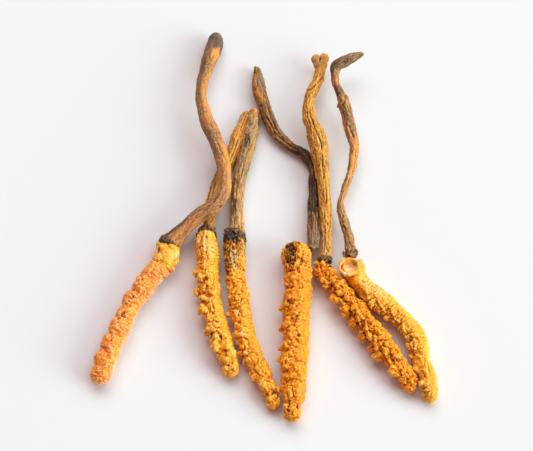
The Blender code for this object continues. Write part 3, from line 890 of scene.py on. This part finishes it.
# fifth: beads down the left, with folds running over from them
larva5 = dict(
    seed=55, domes=(1.3, 1.6), swells=0.26,
    route=[
        (12.5, -12.4, 2.0, 3.2), (14.6, -14.9, 2.2, 3.9), (16.7, -17.4, 2.3, 4.1), (20.9, -23.0, 2.3, 4.2),
        (25.3, -28.9, 2.4, 4.4), (29.0, -34.3, 2.4, 4.1), (32.4, -39.3, 2.0, 3.6), (34.1, -42.9, 1.7, 3.0),
    ],
    waists=[
        (7.0, 0.5, 20), (10.9, 0.7, 0), (15.0, 0.85, 0), (18.7, 0.9, 0), (22.3, 0.85, 0), (25.0, 0.6, 0),
        (29.0, 0.5, 30), (33.0, 0.4, 60),
    ],
    knobs=[
        (5.6, 10, 0.8, 0.15, 3), (9.2, 16, 0.9, 0.25, 3), (13.4, 12, 1.2, 0.25, 3), (16.9, 2, 1.2, 0.3, 3),
        (20.5, -8, 1.2, 0.3, 3), (23.8, -8, 1.05, 0.3, 3), (26.4, -10, 0.85, 0.35, 3),
        (31.4, 25, 0.85, 0.0, 4), (34.8, 47, 0.8, 0.1, 4), (0.2, 78, 0.6, 0.15, 3),
        (1.2, 112, 0.65, 0.1, 4), (3.9, 113, 0.95, -0.1, 4), (35.4, 95, 0.7, 0.0, 4),
        (7.6, 96, 0.8, -0.15, 4), (11.2, 74, 0.8, -0.15, 4), (29.0, 96, 0.85, -0.2, 4),
        (32.4, 90, 0.7, -0.15, 4),
    ],
    ropes=[
        ([(15.1, 84), (16.6, 58), (18.5, 44)], 0.34, 0.36),
        ([(18.7, 74), (20.4, 50), (22.4, 40)], 0.34, 0.36),
        ([(22.6, 70), (24.5, 40), (26.4, 19)], 0.34, 0.36),
        ([(27.2, 66), (28.8, 48), (30.2, 44)], 0.32, 0.25),
        ([(9.0, 60), (10.4, 46), (12.2, 44)], 0.32, 0.25),
        ([(20.0, 104), (22.6, 92), (25.4, 96)], 0.34, 0.15),
    ],
    crumbs=[
        (12, (0.5, 15), (30, 160), (0.6, 0.9), -0.4), (6, (14, 28), (60, 125), (0.6, 0.9), -0.5),
        (12, (27, 36.5), (0, 150), (0.45, 0.75), -0.4),
    ],
    seam=[(0, 270), (40, 270)],
    rows=dict(plainRows, height=0.07),
    layers=[
        dict(kind=puffy, size=2.4, tall=0.8), dict(kind=lumpy, size=1.9, tall=0.3),
        dict(kind=flaky, size=1.5, stretch=0.9, tall=0.36), dict(kind=puffy, size=0.75, tall=0.18),
    ],
    marks=[
        ([(4.0, 60), (9.0, 52), (13.0, 58)], 0.32, -0.35),
        ([(14.0, 40), (19.0, 22), (24.0, 8)], 0.34, -0.4),
    ],
    patches=dict(
        # the patches at 15.0, 18.7 and 22.3 mm paint shade in the hollows between the knobs, and the one at
        # 180 degrees paints shade on the side facing the sixth larva
        char=[
            (4.0, 20, 3.5, 1.0, 0.4), (15.0, 25, 0.8, 1.2, 0.35), (18.7, 12, 0.8, 1.2, 0.35),
            (22.3, 2, 0.8, 1.2, 0.35), (10.0, 180, 9.0, 1.3, 0.4),
        ],
    ),
    tone=dict(
        seed=7.7, mid=(0.85, 0.25, 0.007), light=(0.94, 0.36, 0.012), mottleAndShade=(0.52, 0.12, 0.004),
        goldAndHighlight=(0.99, 0.52, 0.05), creviceShade=(0.1, 0.02, 0.003), deep=0.05,
    ),
)

# far right: the head is an open cup with a rolled rim
larva6 = dict(
    seed=66, domes=(2.2, 1.8), swells=0.18,
    route=[
        (19.8, -11.2, 2.7, 4.8), (20.2, -13.2, 2.7, 5.2), (22.2, -16.3, 2.5, 4.7), (24.1, -18.6, 2.4, 4.6),
        (26.1, -20.6, 2.4, 5.2), (29.1, -23.2, 2.4, 4.6), (32.0, -25.9, 2.4, 4.4), (33.7, -28.1, 2.4, 4.6),
        (35.0, -30.0, 2.3, 4.6), (35.7, -32.9, 2.3, 4.6), (36.3, -36.2, 2.1, 3.9), (37.4, -39.0, 2.0, 3.7),
        (37.7, -42.1, 2.0, 4.0), (37.8, -44.2, 1.9, 3.6), (37.6, -45.8, 1.8, 3.4),
    ],
    waists=[
        (10.0, 0.3, 20), (15.8, 0.5, 10), (20.6, 0.8, 10), (23.4, 0.8, 10), (26.0, 0.5, 10),
        (29.0, 0.6, 10), (36.0, 0.3, 60), (7.2, 0.4, 150),
    ],
    knobs=[
        (12.1, 32, 0.7, 0.0, 4), (14.4, 20, 0.6, 0.0, 4), (16.6, 8, 0.6, 0.0, 4), (19.0, 30, 0.6, -0.1, 4),
        (24.8, 30, 0.6, 0.0, 3), (27.2, 30, 0.7, 0.0, 4), (38.2, 60, 0.6, 0.0, 4), (32.0, 20, 0.7, 0.0, 4),
        (36.4, 30, 0.6, 0.0, 3),
    ],
    ropes=[
        ([(13.0, 62), (14.8, 48), (15.8, 26)], 0.34, 0.0),
        ([(17.2, 60), (18.8, 44), (19.6, 22)], 0.34, 0.0),
        ([(21.2, 60), (22.6, 42), (23.2, 20)], 0.34, 0.0), ([(9.4, 66), (10.8, 48), (11.4, 30)], 0.3, 0.0),
    ],
    rings=[dict(centre=(19.9, -14.0, 5.15), reach=(2.25, 2.0), thick=0.42, lean=0.25)],
    lumps=[
        (3.5, 148, (1.5, 0.9, 0.95), 0.0), (5.8, 66, (1.2, 1.3, 0.6), -0.1),
        (1.0, 160, (0.3, 0.3, 0.8), 0.5), (0.6, 162, (0.22, 0.22, 0.35), 1.2),
        (4.9, 110, (1.1, 1.3, 0.7), -0.1),
    ],
    hollows=[dict(centre=(19.85, -13.95, 6.0), radii=(2.0, 1.72, 1.7), lean=6, about="X")],
    crumbs=[(10, (9, 28), (-10, 50), (0.4, 0.65), -0.45), (10, (26, 40), (-20, 80), (0.45, 0.7), -0.45)],
    seam=[(0, 40), (8, 60), (12, 76), (20, 72), (26, 66), (30, 76), (36, 90), (41, 130)],
    rows=dict(plainRows, pitch=0.83, height=0.19, beadDepth=0.6, bead=1.0, fade=0.7, uneven=0.35),
    layers=[
        dict(kind=puffy, size=2.4, tall=0.5, smooth=0.8),
        dict(kind=lumpy, size=1.6, tall=0.28, smooth=0.15),
        dict(kind=flaky, size=1.1, stretch=0.5, tall=0.36, smooth=0.1, span=(8, 30)),
        dict(kind=puffy, size=0.75, tall=0.2, smooth=0.8),
    ],
    marks=[
        ([(12.9, 60), (16.0, 30)], 0.28, -0.3), ([(16.6, 60), (19.8, 30)], 0.28, -0.3),
        ([(24.6, 50), (27.4, 56)], 0.28, -0.3),
    ],
    patches=dict(
        calm=[(2.2, 85, 3.2, 9, 0.6), (5.6, 70, 1.4, 2.2, 0.8)],
        glow=[(2.6, 85, 3.8, 9, 0.9)],
        pale=[(2.9, 78, 1.5, 1.5, 0.95), (10, 110, 4, 1.5, 0.35)],
        char=[
            # the first char patch is painted shadow on the cup's inner wall under the rim
            (2.3, 112, 1.0, 0.4, 0.5), (25.9, 47, 1.2, 0.9, 0.4), (37.9, 55, 1.4, 0.9, 0.6),
            (35.2, 50, 1.0, 0.6, 0.4),
        ],
    ),
    tone=dict(
        seed=9.2, mid=(0.93, 0.37, 0.016), light=(0.98, 0.5, 0.035), goldAndHighlight=(0.99, 0.64, 0.15),
        mottleAndShade=(0.7, 0.2, 0.008), pale=(1.0, 0.78, 0.36), glow=(0.96, 0.38, 0.015), deep=-0.1,
    ),
)

for number, look in enumerate((larva1, larva2, larva3, larva4, larva5, larva6), 1):
    buildLarva(f"ringedLarva{number}", f"larva_{number}", look)


# Stalks

barkVoxel = 0.15  # mm
# the darker tones also paint shade in the hollows and furrows, and the golden crest tone paints highlights on
# the ridges
barkTone = dict(
    mid=(0.44, 0.19, 0.06), light=(0.66, 0.32, 0.10), mottleAndShade=(0.20, 0.105, 0.05), goldAndHighlight=(0.78, 0.45, 0.17),
    creviceShade=(0.055, 0.022, 0.009), ash=(0.23, 0.185, 0.125), char=(0.04, 0.032, 0.026),
    glow=(0.86, 0.34, 0.045), mottle=0.6, furrowShade=0.92, roughness=0.45,
)


def buildStalk(name, node, look):
    route = smoothRoute(look["route"], look["domes"])

    def swell(place, degrees):
        # uneven growth: the stalk thickens and thins, and isn't quite round
        ahead = place / 3.2 + look["tone"]["seed"]
        spots = [(math.cos(turn) * 0.8, math.sin(turn) * 0.8, ahead) for turn in np.radians(degrees)]
        return 1 + look["knots"] * np.array([noise.noise(spot) for spot in spots])

    bm = growTube(route, swell, sides=32)
    for along, degrees, size, lift in look.get("lumps", []):
        addLump(bm, route, along, degrees, size, lift)
    for centre, radii in look.get("balls", []):
        addBall(bm, centre, radii)
    mesh = fused(name, bm, barkVoxel)
    skin, patches = readSkin(mesh, route), look["patches"]
    relief, crease = layered(skin, look["layers"], np.ones(len(skin["along"])))
    relief += 0.18 * wander(skin, 1.6, 1.8, seed=2.4)
    reach = look["collar"]
    collar = soft(reach + 1.2, reach * 0.5, skin["along"] + 0.5 * wander(skin, 1.0, seed=1.1))
    relief += collar * (0.30 * wander(skin, 0.8, 1.4, seed=4.2) + 0.38 * flaky(skin, 0.8, 1.6, 2.2, 0.4)[0])
    relief += 0.04 * wander(skin, 0.33, 1.6, seed=7.1)
    ragged = wander(skin, 1.0, 1.8, seed=3.9, octaves=3)
    masks = {kind: stains(skin, patches, kind, ragged) for kind in ("char", "ash", "glow")}
    masks["char"] = np.maximum(masks["char"], collar * look["burn"]) * (1 - 0.9 * masks["glow"])
    calm = 1 - 0.8 * stains(skin, patches, "calm", ragged)
    masks["crease"] = crease * calm
    dressMesh(mesh, skin, relief * calm + drawMarks(skin, look["marks"]), masks)
    tone = dict(barkTone, **look["tone"])
    finishPiece(name, mesh, barkMaterial(name + "Bark", tone), node)


def barkLayers(deep, fine, grain=0.1):
    # deep lengthwise furrows, wavy wrinkles between them, and a fine crinkle over both
    return [
        dict(kind=grooved, size=1.1, stretch=6.0, tall=deep),
        dict(kind=grooved, size=0.5, stretch=4.5, tall=fine),
        dict(kind=flaky, size=0.8, stretch=3.5, tall=fine * 0.5),
        dict(kind=lumpy, size=0.5, stretch=1.6, tall=grain),
    ]


# collar is the length of the black collar at the foot, burn how black it is, and knots how uneven the
# stalk grew. balls: centre and radii. The rest is as for the larvae.

# the longest and thickest, with an ash grey tip
stalk1 = dict(
    domes=(0.0, 2.0), collar=1.6, burn=0.85, knots=0.1, layers=barkLayers(0.1, 0.05),
    route=[
        (-22.5, -8.4, 2.9, 5.5), (-22.3, -7.6, 3.0, 5.3), (-21.2, -6.4, 3.4, 4.5), (-19.4, -4.5, 4.0, 3.6),
        (-17.2, -2.5, 4.6, 3.4), (-14.9, -0.7, 5.1, 3.7), (-12.1, 1.0, 5.6, 3.8), (-10.3, 3.3, 5.8, 3.6),
        (-9.4, 5.8, 5.8, 3.2), (-9.4, 8.7, 5.8, 3.1), (-9.8, 12.0, 5.7, 3.3), (-10.5, 15.1, 5.5, 3.5),
        (-11.6, 18.3, 5.3, 3.5), (-12.8, 21.3, 5.1, 3.6), (-14.0, 24.4, 4.8, 3.4), (-14.9, 27.7, 4.5, 3.1),
        (-15.4, 30.7, 4.2, 2.8), (-15.2, 34.5, 3.8, 3.0), (-14.5, 38.4, 3.3, 3.2), (-13.5, 42.1, 2.8, 3.8),
        (-12.8, 44.7, 2.5, 4.2), (-12.3, 46.9, 2.3, 4.0), (-12.0, 49.9, 2.1, 3.1),
    ],
    lumps=[(58.6, 120, (2.4, 1.1, 0.5), -0.25)],
    marks=[
        ([(56.0, 135), (50.0, 150), (44.0, 155)], 0.25, -0.2), ([(35.8, 176), (35.2, 182)], 0.4, -0.4),
        ([(15.6, 147), (15.4, 150)], 0.3, -0.3), ([(26.0, 120), (29.0, 96), (33.0, 92)], 0.25, -0.2),
        ([(20.0, 60), (14.0, 84), (9.0, 70)], 0.25, -0.2),
    ],
    patches=dict(
        ash=[
            (63.9, 90, 3.9, 9, 1.0), (55.0, 60, 6.5, 1.9, 0.7), (44.0, 20, 5.0, 2.0, 0.6),
            (33.0, 40, 7.0, 1.4, 0.5), (16.0, 70, 6.0, 2.0, 0.35), (8.0, 45, 5.0, 1.2, 0.75),
            (2.4, 40, 3.0, 2.0, 0.6),
        ],
        char=[
            (61.8, 106, 2.0, 0.6, 0.5), (64.5, 60, 1.6, 1.2, 0.3), (53.0, 60, 4.0, 0.7, 0.35),
            (5.0, 40, 4.0, 0.8, 0.6), (15.6, 148, 0.45, 0.35, 0.6),
        ],
        glow=[
            (58.0, 122, 2.4, 1.4, 1.0), (47.0, 140, 8.0, 1.5, 0.5), (27.0, 140, 5.0, 1.3, 0.6),
            (20.5, 150, 3.0, 1.0, 0.45), (2.6, 76, 0.7, 0.5, 1.0),
        ],
        calm=[(62.9, 90, 4.0, 9, 0.8)],
    ),
    tone=dict(
        seed=1.1, mid=(0.5, 0.18, 0.05), light=(0.74, 0.31, 0.085), mottleAndShade=(0.22, 0.1, 0.045),
        goldAndHighlight=(0.76, 0.36, 0.12), ash=(0.115, 0.088, 0.058), mottle=0.8, furrowShade=0.45,
    ),
)

# short and ochre, furrowed from end to end
stalk2 = dict(
    domes=(0.0, 1.6), collar=1.0, burn=0.9, knots=0.1, layers=barkLayers(0.34, 0.2),
    route=[
        (-13.6, -4.4, 2.3, 3.6), (-13.4, -3.6, 2.2, 3.3), (-13.2, -2.4, 1.9, 2.9), (-13.0, -0.5, 1.7, 2.6),
        (-12.7, 2.4, 1.5, 2.9), (-12.3, 5.0, 1.5, 3.0), (-11.5, 7.9, 1.5, 3.0), (-10.4, 10.8, 1.5, 3.0),
        (-9.2, 13.3, 1.5, 3.0), (-8.0, 16.1, 1.5, 3.0), (-7.0, 19.4, 1.5, 3.1), (-6.1, 22.6, 1.5, 2.9),
        (-5.1, 25.5, 1.3, 2.4), (-3.9, 28.5, 1.1, 1.7),
    ],
    marks=[
        ([(33.0, 100), (28.0, 108), (22.0, 112), (16.0, 110)], 0.25, -0.3),
        ([(30.0, 130), (24.0, 140), (18.0, 140)], 0.22, -0.2), ([(29.0, 70), (22.0, 72)], 0.22, -0.2),
        ([(12.6, 20), (7.0, 40)], 0.35, -0.3),
    ],
    patches=dict(
        glow=[(24.0, 115, 9.0, 1.2, 0.5), (3.2, 125, 2.6, 1.1, 0.6)],
        char=[(12.0, 40, 3.5, 1.0, 0.5)],
        ash=[(31.5, 50, 2.0, 1.0, 0.4)],
    ),
    tone=dict(
        seed=2.2, mid=(0.5, 0.21, 0.035), light=(0.76, 0.35, 0.055), mottleAndShade=(0.26, 0.13, 0.035),
        goldAndHighlight=(0.84, 0.48, 0.12), mottle=0.35,
    ),
)

# nearly straight, over a wrinkled black collar
stalk3 = dict(
    domes=(0.0, 1.6), collar=2.2, burn=0.9, knots=0.12, layers=barkLayers(0.34, 0.24, 0.14),
    route=[
        (-7.0, -6.4, 2.5, 5.0), (-7.0, -5.6, 2.5, 5.2), (-6.8, -4.7, 2.4, 4.6), (-6.5, -3.9, 2.2, 3.7),
        (-6.5, -1.9, 2.0, 3.1), (-6.6, 1.2, 1.9, 2.9), (-6.5, 4.3, 1.9, 2.9), (-6.3, 7.5, 1.9, 3.0),
        (-5.8, 10.9, 1.9, 3.3), (-5.0, 14.3, 2.0, 3.4), (-4.0, 17.5, 2.0, 3.4), (-3.4, 20.8, 2.0, 3.4),
        (-2.9, 24.1, 1.9, 3.0), (-2.6, 26.9, 1.7, 2.5), (-2.5, 29.3, 1.5, 1.9),
    ],
    lumps=[
        (1.6, 30, (0.8, 0.8, 0.5), -0.1), (1.4, 150, (0.9, 0.7, 0.6), -0.1),
        (1.2, 90, (0.7, 0.9, 0.5), -0.1),
    ],
    marks=[
        ([(26.5, 78), (24.6, 62), (21.0, 66)], 0.3, -0.3), ([(15.3, 60), (15.0, 62)], 0.35, -0.35),
        ([(11.0, 64), (7.5, 84), (4.0, 70)], 0.28, -0.3),
    ],
    patches=dict(
        char=[
            (31.4, 74, 1.4, 0.6, 0.5), (26.0, 75, 2.2, 0.8, 0.6), (13.0, 30, 4.0, 0.9, 0.5),
            (9.0, 70, 2.2, 0.6, 0.6),
        ],
        ash=[
            (29.0, 100, 4.0, 1.5, 0.5), (22.0, 60, 5.0, 1.4, 0.6), (18.0, 130, 5.0, 1.2, 0.35),
            (6.0, 60, 4.0, 1.3, 0.5),
        ],
        glow=[(33.5, 110, 1.5, 1.2, 0.45), (26.0, 130, 5.0, 0.9, 0.35)],
    ),
    tone=dict(
        seed=3.3, mid=(0.55, 0.25, 0.065), light=(0.8, 0.41, 0.11), mottleAndShade=(0.19, 0.11, 0.045),
        ash=(0.23, 0.185, 0.12),
    ),
)

# thin, the darkest, with an S-bend in its middle
stalk4 = dict(
    domes=(0.6, 1.6), collar=0.6, burn=0.0, knots=0.14, layers=barkLayers(0.4, 0.22, 0.12),
    route=[
        (11.8, -8.9, 2.6, 2.2), (11.7, -6.9, 2.4, 2.5), (11.8, -4.0, 2.1, 3.1), (11.8, 0.0, 1.7, 2.9),
        (11.8, 4.6, 1.4, 2.5), (11.9, 8.6, 1.2, 2.3), (12.0, 11.8, 1.2, 2.3), (11.2, 14.6, 1.3, 2.4),
        (9.5, 17.0, 1.3, 2.3), (6.9, 18.5, 1.4, 2.3), (4.9, 20.2, 1.5, 2.4), (3.0, 22.2, 1.7, 2.6),
        (1.8, 24.6, 1.9, 3.0), (0.8, 27.0, 2.0, 3.0), (0, 29.7, 2.0, 3.0), (-0.9, 32.6, 1.9, 3.1),
        (-1.3, 35.4, 1.8, 3.0), (-1.5, 38.3, 1.5, 2.3), (-2.1, 40.8, 1.2, 1.5),
    ],
    marks=[
        ([(45.0, 118), (41.9, 126), (38.5, 112), (33.0, 100)], 0.32, -0.5),
        ([(38.5, 70), (33.0, 62), (28.0, 80)], 0.3, -0.35), ([(12.0, 60), (4.0, 72)], 0.22, -0.25),
        ([(13.0, 100), (4.0, 110)], 0.22, -0.25),
    ],
    patches=dict(
        ash=[(49.3, 100, 2.6, 0.7, 0.8), (2.0, 90, 3.5, 3, 0.5), (36.0, 150, 5.0, 0.8, 0.5)],
        glow=[(45.2, 70, 2.6, 0.9, 0.6), (50.0, 60, 2.0, 0.8, 0.5)],
        char=[
            (25.5, 90, 5.0, 3, 0.8), (15.0, 90, 6.0, 3, 0.8), (38.0, 120, 3.0, 0.7, 0.45),
            (9.5, 110, 4.0, 1.0, 0.35),
        ],
    ),
    tone=dict(
        seed=4.4, mid=(0.21, 0.08, 0.027), light=(0.44, 0.18, 0.05), mottleAndShade=(0.065, 0.033, 0.018),
        goldAndHighlight=(0.56, 0.29, 0.1), char=(0.035, 0.022, 0.013),
    ),
)

# golden, with cracks along its upper half and a tip of two lobes
stalk5 = dict(
    domes=(0.6, 0.8), collar=1.2, burn=0.8, knots=0.1, layers=barkLayers(0.4, 0.26, 0.14),
    route=[
        (14.2, -12.0, 2.4, 3.1), (14.3, -11.3, 2.4, 3.1), (14.7, -9.2, 2.3, 2.6), (14.8, -7.4, 2.3, 2.5),
        (14.8, -4.1, 2.4, 2.6), (14.7, 0.2, 2.6, 2.7), (14.6, 4.4, 2.9, 2.8), (14.2, 8.4, 3.3, 3.1),
        (13.9, 12.6, 4.0, 3.6), (13.5, 15.1, 4.3, 4.2), (13.2, 17.7, 4.4, 4.5), (12.6, 20.5, 4.3, 4.4),
        (11.8, 23.3, 4.1, 3.5), (11.2, 25.2, 4.0, 3.2), (10.9, 28.0, 3.8, 2.7), (11.3, 31.0, 3.6, 2.7),
        (12.2, 33.4, 3.5, 2.7), (13.4, 36.2, 3.4, 2.5), (14.0, 38.6, 3.3, 2.6), (14.5, 41.0, 3.2, 2.5),
    ],
    lumps=[(49.4, 186, (0.5, 0.4, 0.35), 0.0), (0.2, 90, (0.6, 0.5, 0.5), -0.1)],
    balls=[
        ((12.9, 41.8, 3.2), (1.3, 1.35, 1.25)), ((13.3, 40.4, 3.2), (1.1, 1.6, 1.2)),
        ((14.95, 42.0, 3.2), (1.35, 1.4, 1.3)), ((14.7, 40.4, 3.2), (1.2, 1.8, 1.25)),
    ],
    marks=[
        ([(49.3, 150), (47.5, 110), (45.3, 74), (44.5, 9)], 0.26, -0.45),
        ([(39.0, 95), (35.5, 92), (32.2, 88), (29.5, 104), (26.9, 100), (23.8, 92), (21.0, 96)], 0.17,
          -0.5), ([(38.8, 64), (35.0, 66), (31.9, 53)], 0.17, -0.4),
        ([(18.0, 110), (14.0, 96), (9.0, 108), (4.0, 104)], 0.25, -0.28),
        ([(17.0, 60), (10.0, 74), (3.0, 66)], 0.25, -0.28),
    ],
    patches=dict(
        char=[
            (36.6, 94, 1.6, 0.2, 0.6), (29.0, 102, 1.8, 0.2, 0.6), (34.0, 62, 1.5, 0.2, 0.55),
            (43.0, 20, 3.0, 1.0, 0.35), (30.0, 20, 6.0, 0.8, 0.25),
        ],
        ash=[(53.4, 14, 2.4, 1.4, 0.45), (3.0, 60, 3.5, 1.5, 0.4)],
        glow=[(49.6, 100, 2.4, 2.0, 0.5), (40.5, 100, 3.5, 1.2, 0.3), (13.0, 100, 8.0, 0.9, 0.35)],
        calm=[(53.6, 90, 2.8, 9, 0.85)],
    ),
    tone=dict(
        seed=5.5, mid=(0.6, 0.235, 0.03), light=(0.86, 0.37, 0.05), mottleAndShade=(0.28, 0.12, 0.028),
        goldAndHighlight=(0.92, 0.52, 0.11), mottle=0.35, ash=(0.36, 0.24, 0.13),
    ),
)

# thin and winding, grey towards its hook
stalk6 = dict(
    domes=(0.5, 1.0), collar=2.0, burn=0.7, knots=0.12, layers=barkLayers(0.26, 0.2, 0.12),
    route=[
        (20.7, -10.9, 2.7, 2.9), (20.6, -9.9, 2.7, 2.7), (20.4, -8.0, 2.6, 2.3), (20.1, -5.7, 2.6, 2.4),
        (19.5, -3.2, 2.6, 2.3), (18.8, -0.7, 2.7, 2.1), (18.4, 1.6, 2.8, 1.8), (18.4, 3.7, 2.8, 1.7),
        (19.2, 6.0, 2.9, 1.7), (20.2, 8.8, 3.0, 1.8), (21.1, 11.7, 3.1, 2.0), (21.7, 14.8, 3.3, 2.1),
        (21.9, 17.6, 3.5, 2.3), (21.6, 19.9, 3.7, 2.6), (20.8, 22.8, 3.9, 2.9), (20.3, 26.4, 4.3, 2.8),
        (19.6, 28.7, 4.6, 2.8), (19.0, 30.5, 4.8, 2.3), (18.0, 33.1, 5.2, 1.8), (17.5, 35.1, 5.5, 2.0),
        (17.5, 37.0, 5.8, 2.3), (18.1, 38.6, 6.0, 2.8), (19.9, 39.6, 6.3, 2.9), (22.4, 40.6, 6.7, 2.2),
        (24.6, 41.45, 7.0, 1.2),
    ],
    lumps=[
        (42.0, 172, (0.9, 0.45, 0.4), 0.0), (40.7, 0, (0.6, 0.4, 0.35), 0.05),
        (1.1, 8, (0.55, 0.5, 0.55), 0.15), (2.4, 20, (0.5, 0.5, 0.3), 0.0),
    ],
    marks=[
        ([(42.4, 130), (40.6, 92), (40.2, 60)], 0.25, -0.35),
        ([(34.5, 84), (33.1, 80), (31.0, 92)], 0.22, -0.35), ([(8.0, 70), (3.0, 84)], 0.22, -0.22),
    ],
    patches=dict(
        ash=[
            (54.0, 90, 5.6, 9, 0.75), (36.0, 120, 4.0, 0.8, 0.5), (21.0, 40, 5.0, 0.6, 0.5),
            (13.0, 60, 1.2, 0.8, 0.5), (6.0, 90, 4.5, 2.0, 0.45),
        ],
        char=[
            (51.1, 84, 1.3, 0.9, 0.6), (53.9, 112, 1.3, 0.7, 0.6), (49.6, 30, 1.8, 0.9, 0.5),
            (43.5, 90, 2.4, 2.2, 0.4), (38.0, 60, 3.0, 0.9, 0.45), (57.6, 90, 0.8, 2, 0.4),
            (44.3, 60, 1.5, 1.1, 0.65), (40.6, 70, 1.2, 0.8, 0.6),
        ],
        glow=[(54.4, 14, 4.0, 0.45, 0.6), (26.5, 110, 5.0, 1.0, 0.7), (17.0, 150, 6.0, 0.6, 0.35)],
    ),
    tone=dict(
        seed=6.6, mid=(0.42, 0.155, 0.05), light=(0.68, 0.28, 0.08), mottleAndShade=(0.24, 0.11, 0.05),
        ash=(0.16, 0.12, 0.06),
    ),
)

for number, look in enumerate((stalk1, stalk2, stalk3, stalk4, stalk5, stalk6), 1):
    buildStalk(f"driedStalk{number}", f"stalk_{number}", look)


# Table, light and camera

studio = dict(
    elevation=68, distance=355.3, lookAt=(0.6, -1.5, 0), lens=100, sensor=36,  # degrees and mm
    tableTop=-0.02,  # mm, a hair under the pieces
    tableHalf=2.0, lampSize=2.46,  # metres, as the lamps' places
    tableColour=(0.78, 0.775, 0.775), skyColour=(1.0, 0.575, 0.57), skyStrength=0.37,
    lamps=[
        dict(name="lowWindow", place=(2.905, -0.780, 1.094), power=114, colour=(0.79, 1.0, 0.985)),
        dict(name="cornerWindow", place=(1.734, 1.453, 2.263), power=52, colour=(0.695, 0.913, 1.0)),
        dict(name="farWindow", place=(-0.357, 2.024, 2.451), power=54, colour=(0.958, 1.0, 0.996)),
    ],
)

tableShape = bmesh.new()
bmesh.ops.create_grid(tableShape, x_segments=1, y_segments=1, size=studio["tableHalf"])
table = linked("table", tableShape)
table.data.transform(Matrix.Translation((0, 0, studio["tableTop"] * mm)))
tablePlain = {"Base Color": (*studio["tableColour"], 1), "Roughness": 0.85, "Specular IOR Level": 0.1}
table.data.materials.append(newMaterial("paleTable", tablePlain)[0])

for lamp in studio["lamps"]:
    light = bpy.data.lights.new(lamp["name"], "AREA")
    light.shape, light.size = "DISK", studio["lampSize"]
    light.energy, light.color = lamp["power"], lamp["colour"]
    lampObject = bpy.data.objects.new(lamp["name"], light)
    lampObject.location = lamp["place"]
    lampObject.rotation_euler = Vector(lamp["place"]).to_track_quat("Z", "Y").to_euler()
    bpy.context.scene.collection.objects.link(lampObject)

world = bpy.data.worlds.new("softRoom")
world.use_nodes = True
background = world.node_tree.nodes["Background"]
background.inputs["Color"].default_value = (*studio["skyColour"], 1)
background.inputs["Strength"].default_value = studio["skyStrength"]
bpy.context.scene.world = world
bpy.context.scene.view_settings.view_transform = "Standard"

tilt = math.radians(studio["elevation"])
lens = bpy.data.cameras.new("camera")
lens.lens, lens.sensor_width = studio["lens"], studio["sensor"]
lens.clip_start, lens.clip_end = 0.01, 10
camera = bpy.data.objects.new("camera", lens)
away = Vector((0, -math.cos(tilt), math.sin(tilt))) * studio["distance"]
camera.location = (Vector(studio["lookAt"]) + away) * mm
camera.rotation_euler = (math.pi / 2 - tilt, 0, 0)
bpy.context.scene.collection.objects.link(camera)
bpy.context.scene.camera = camera
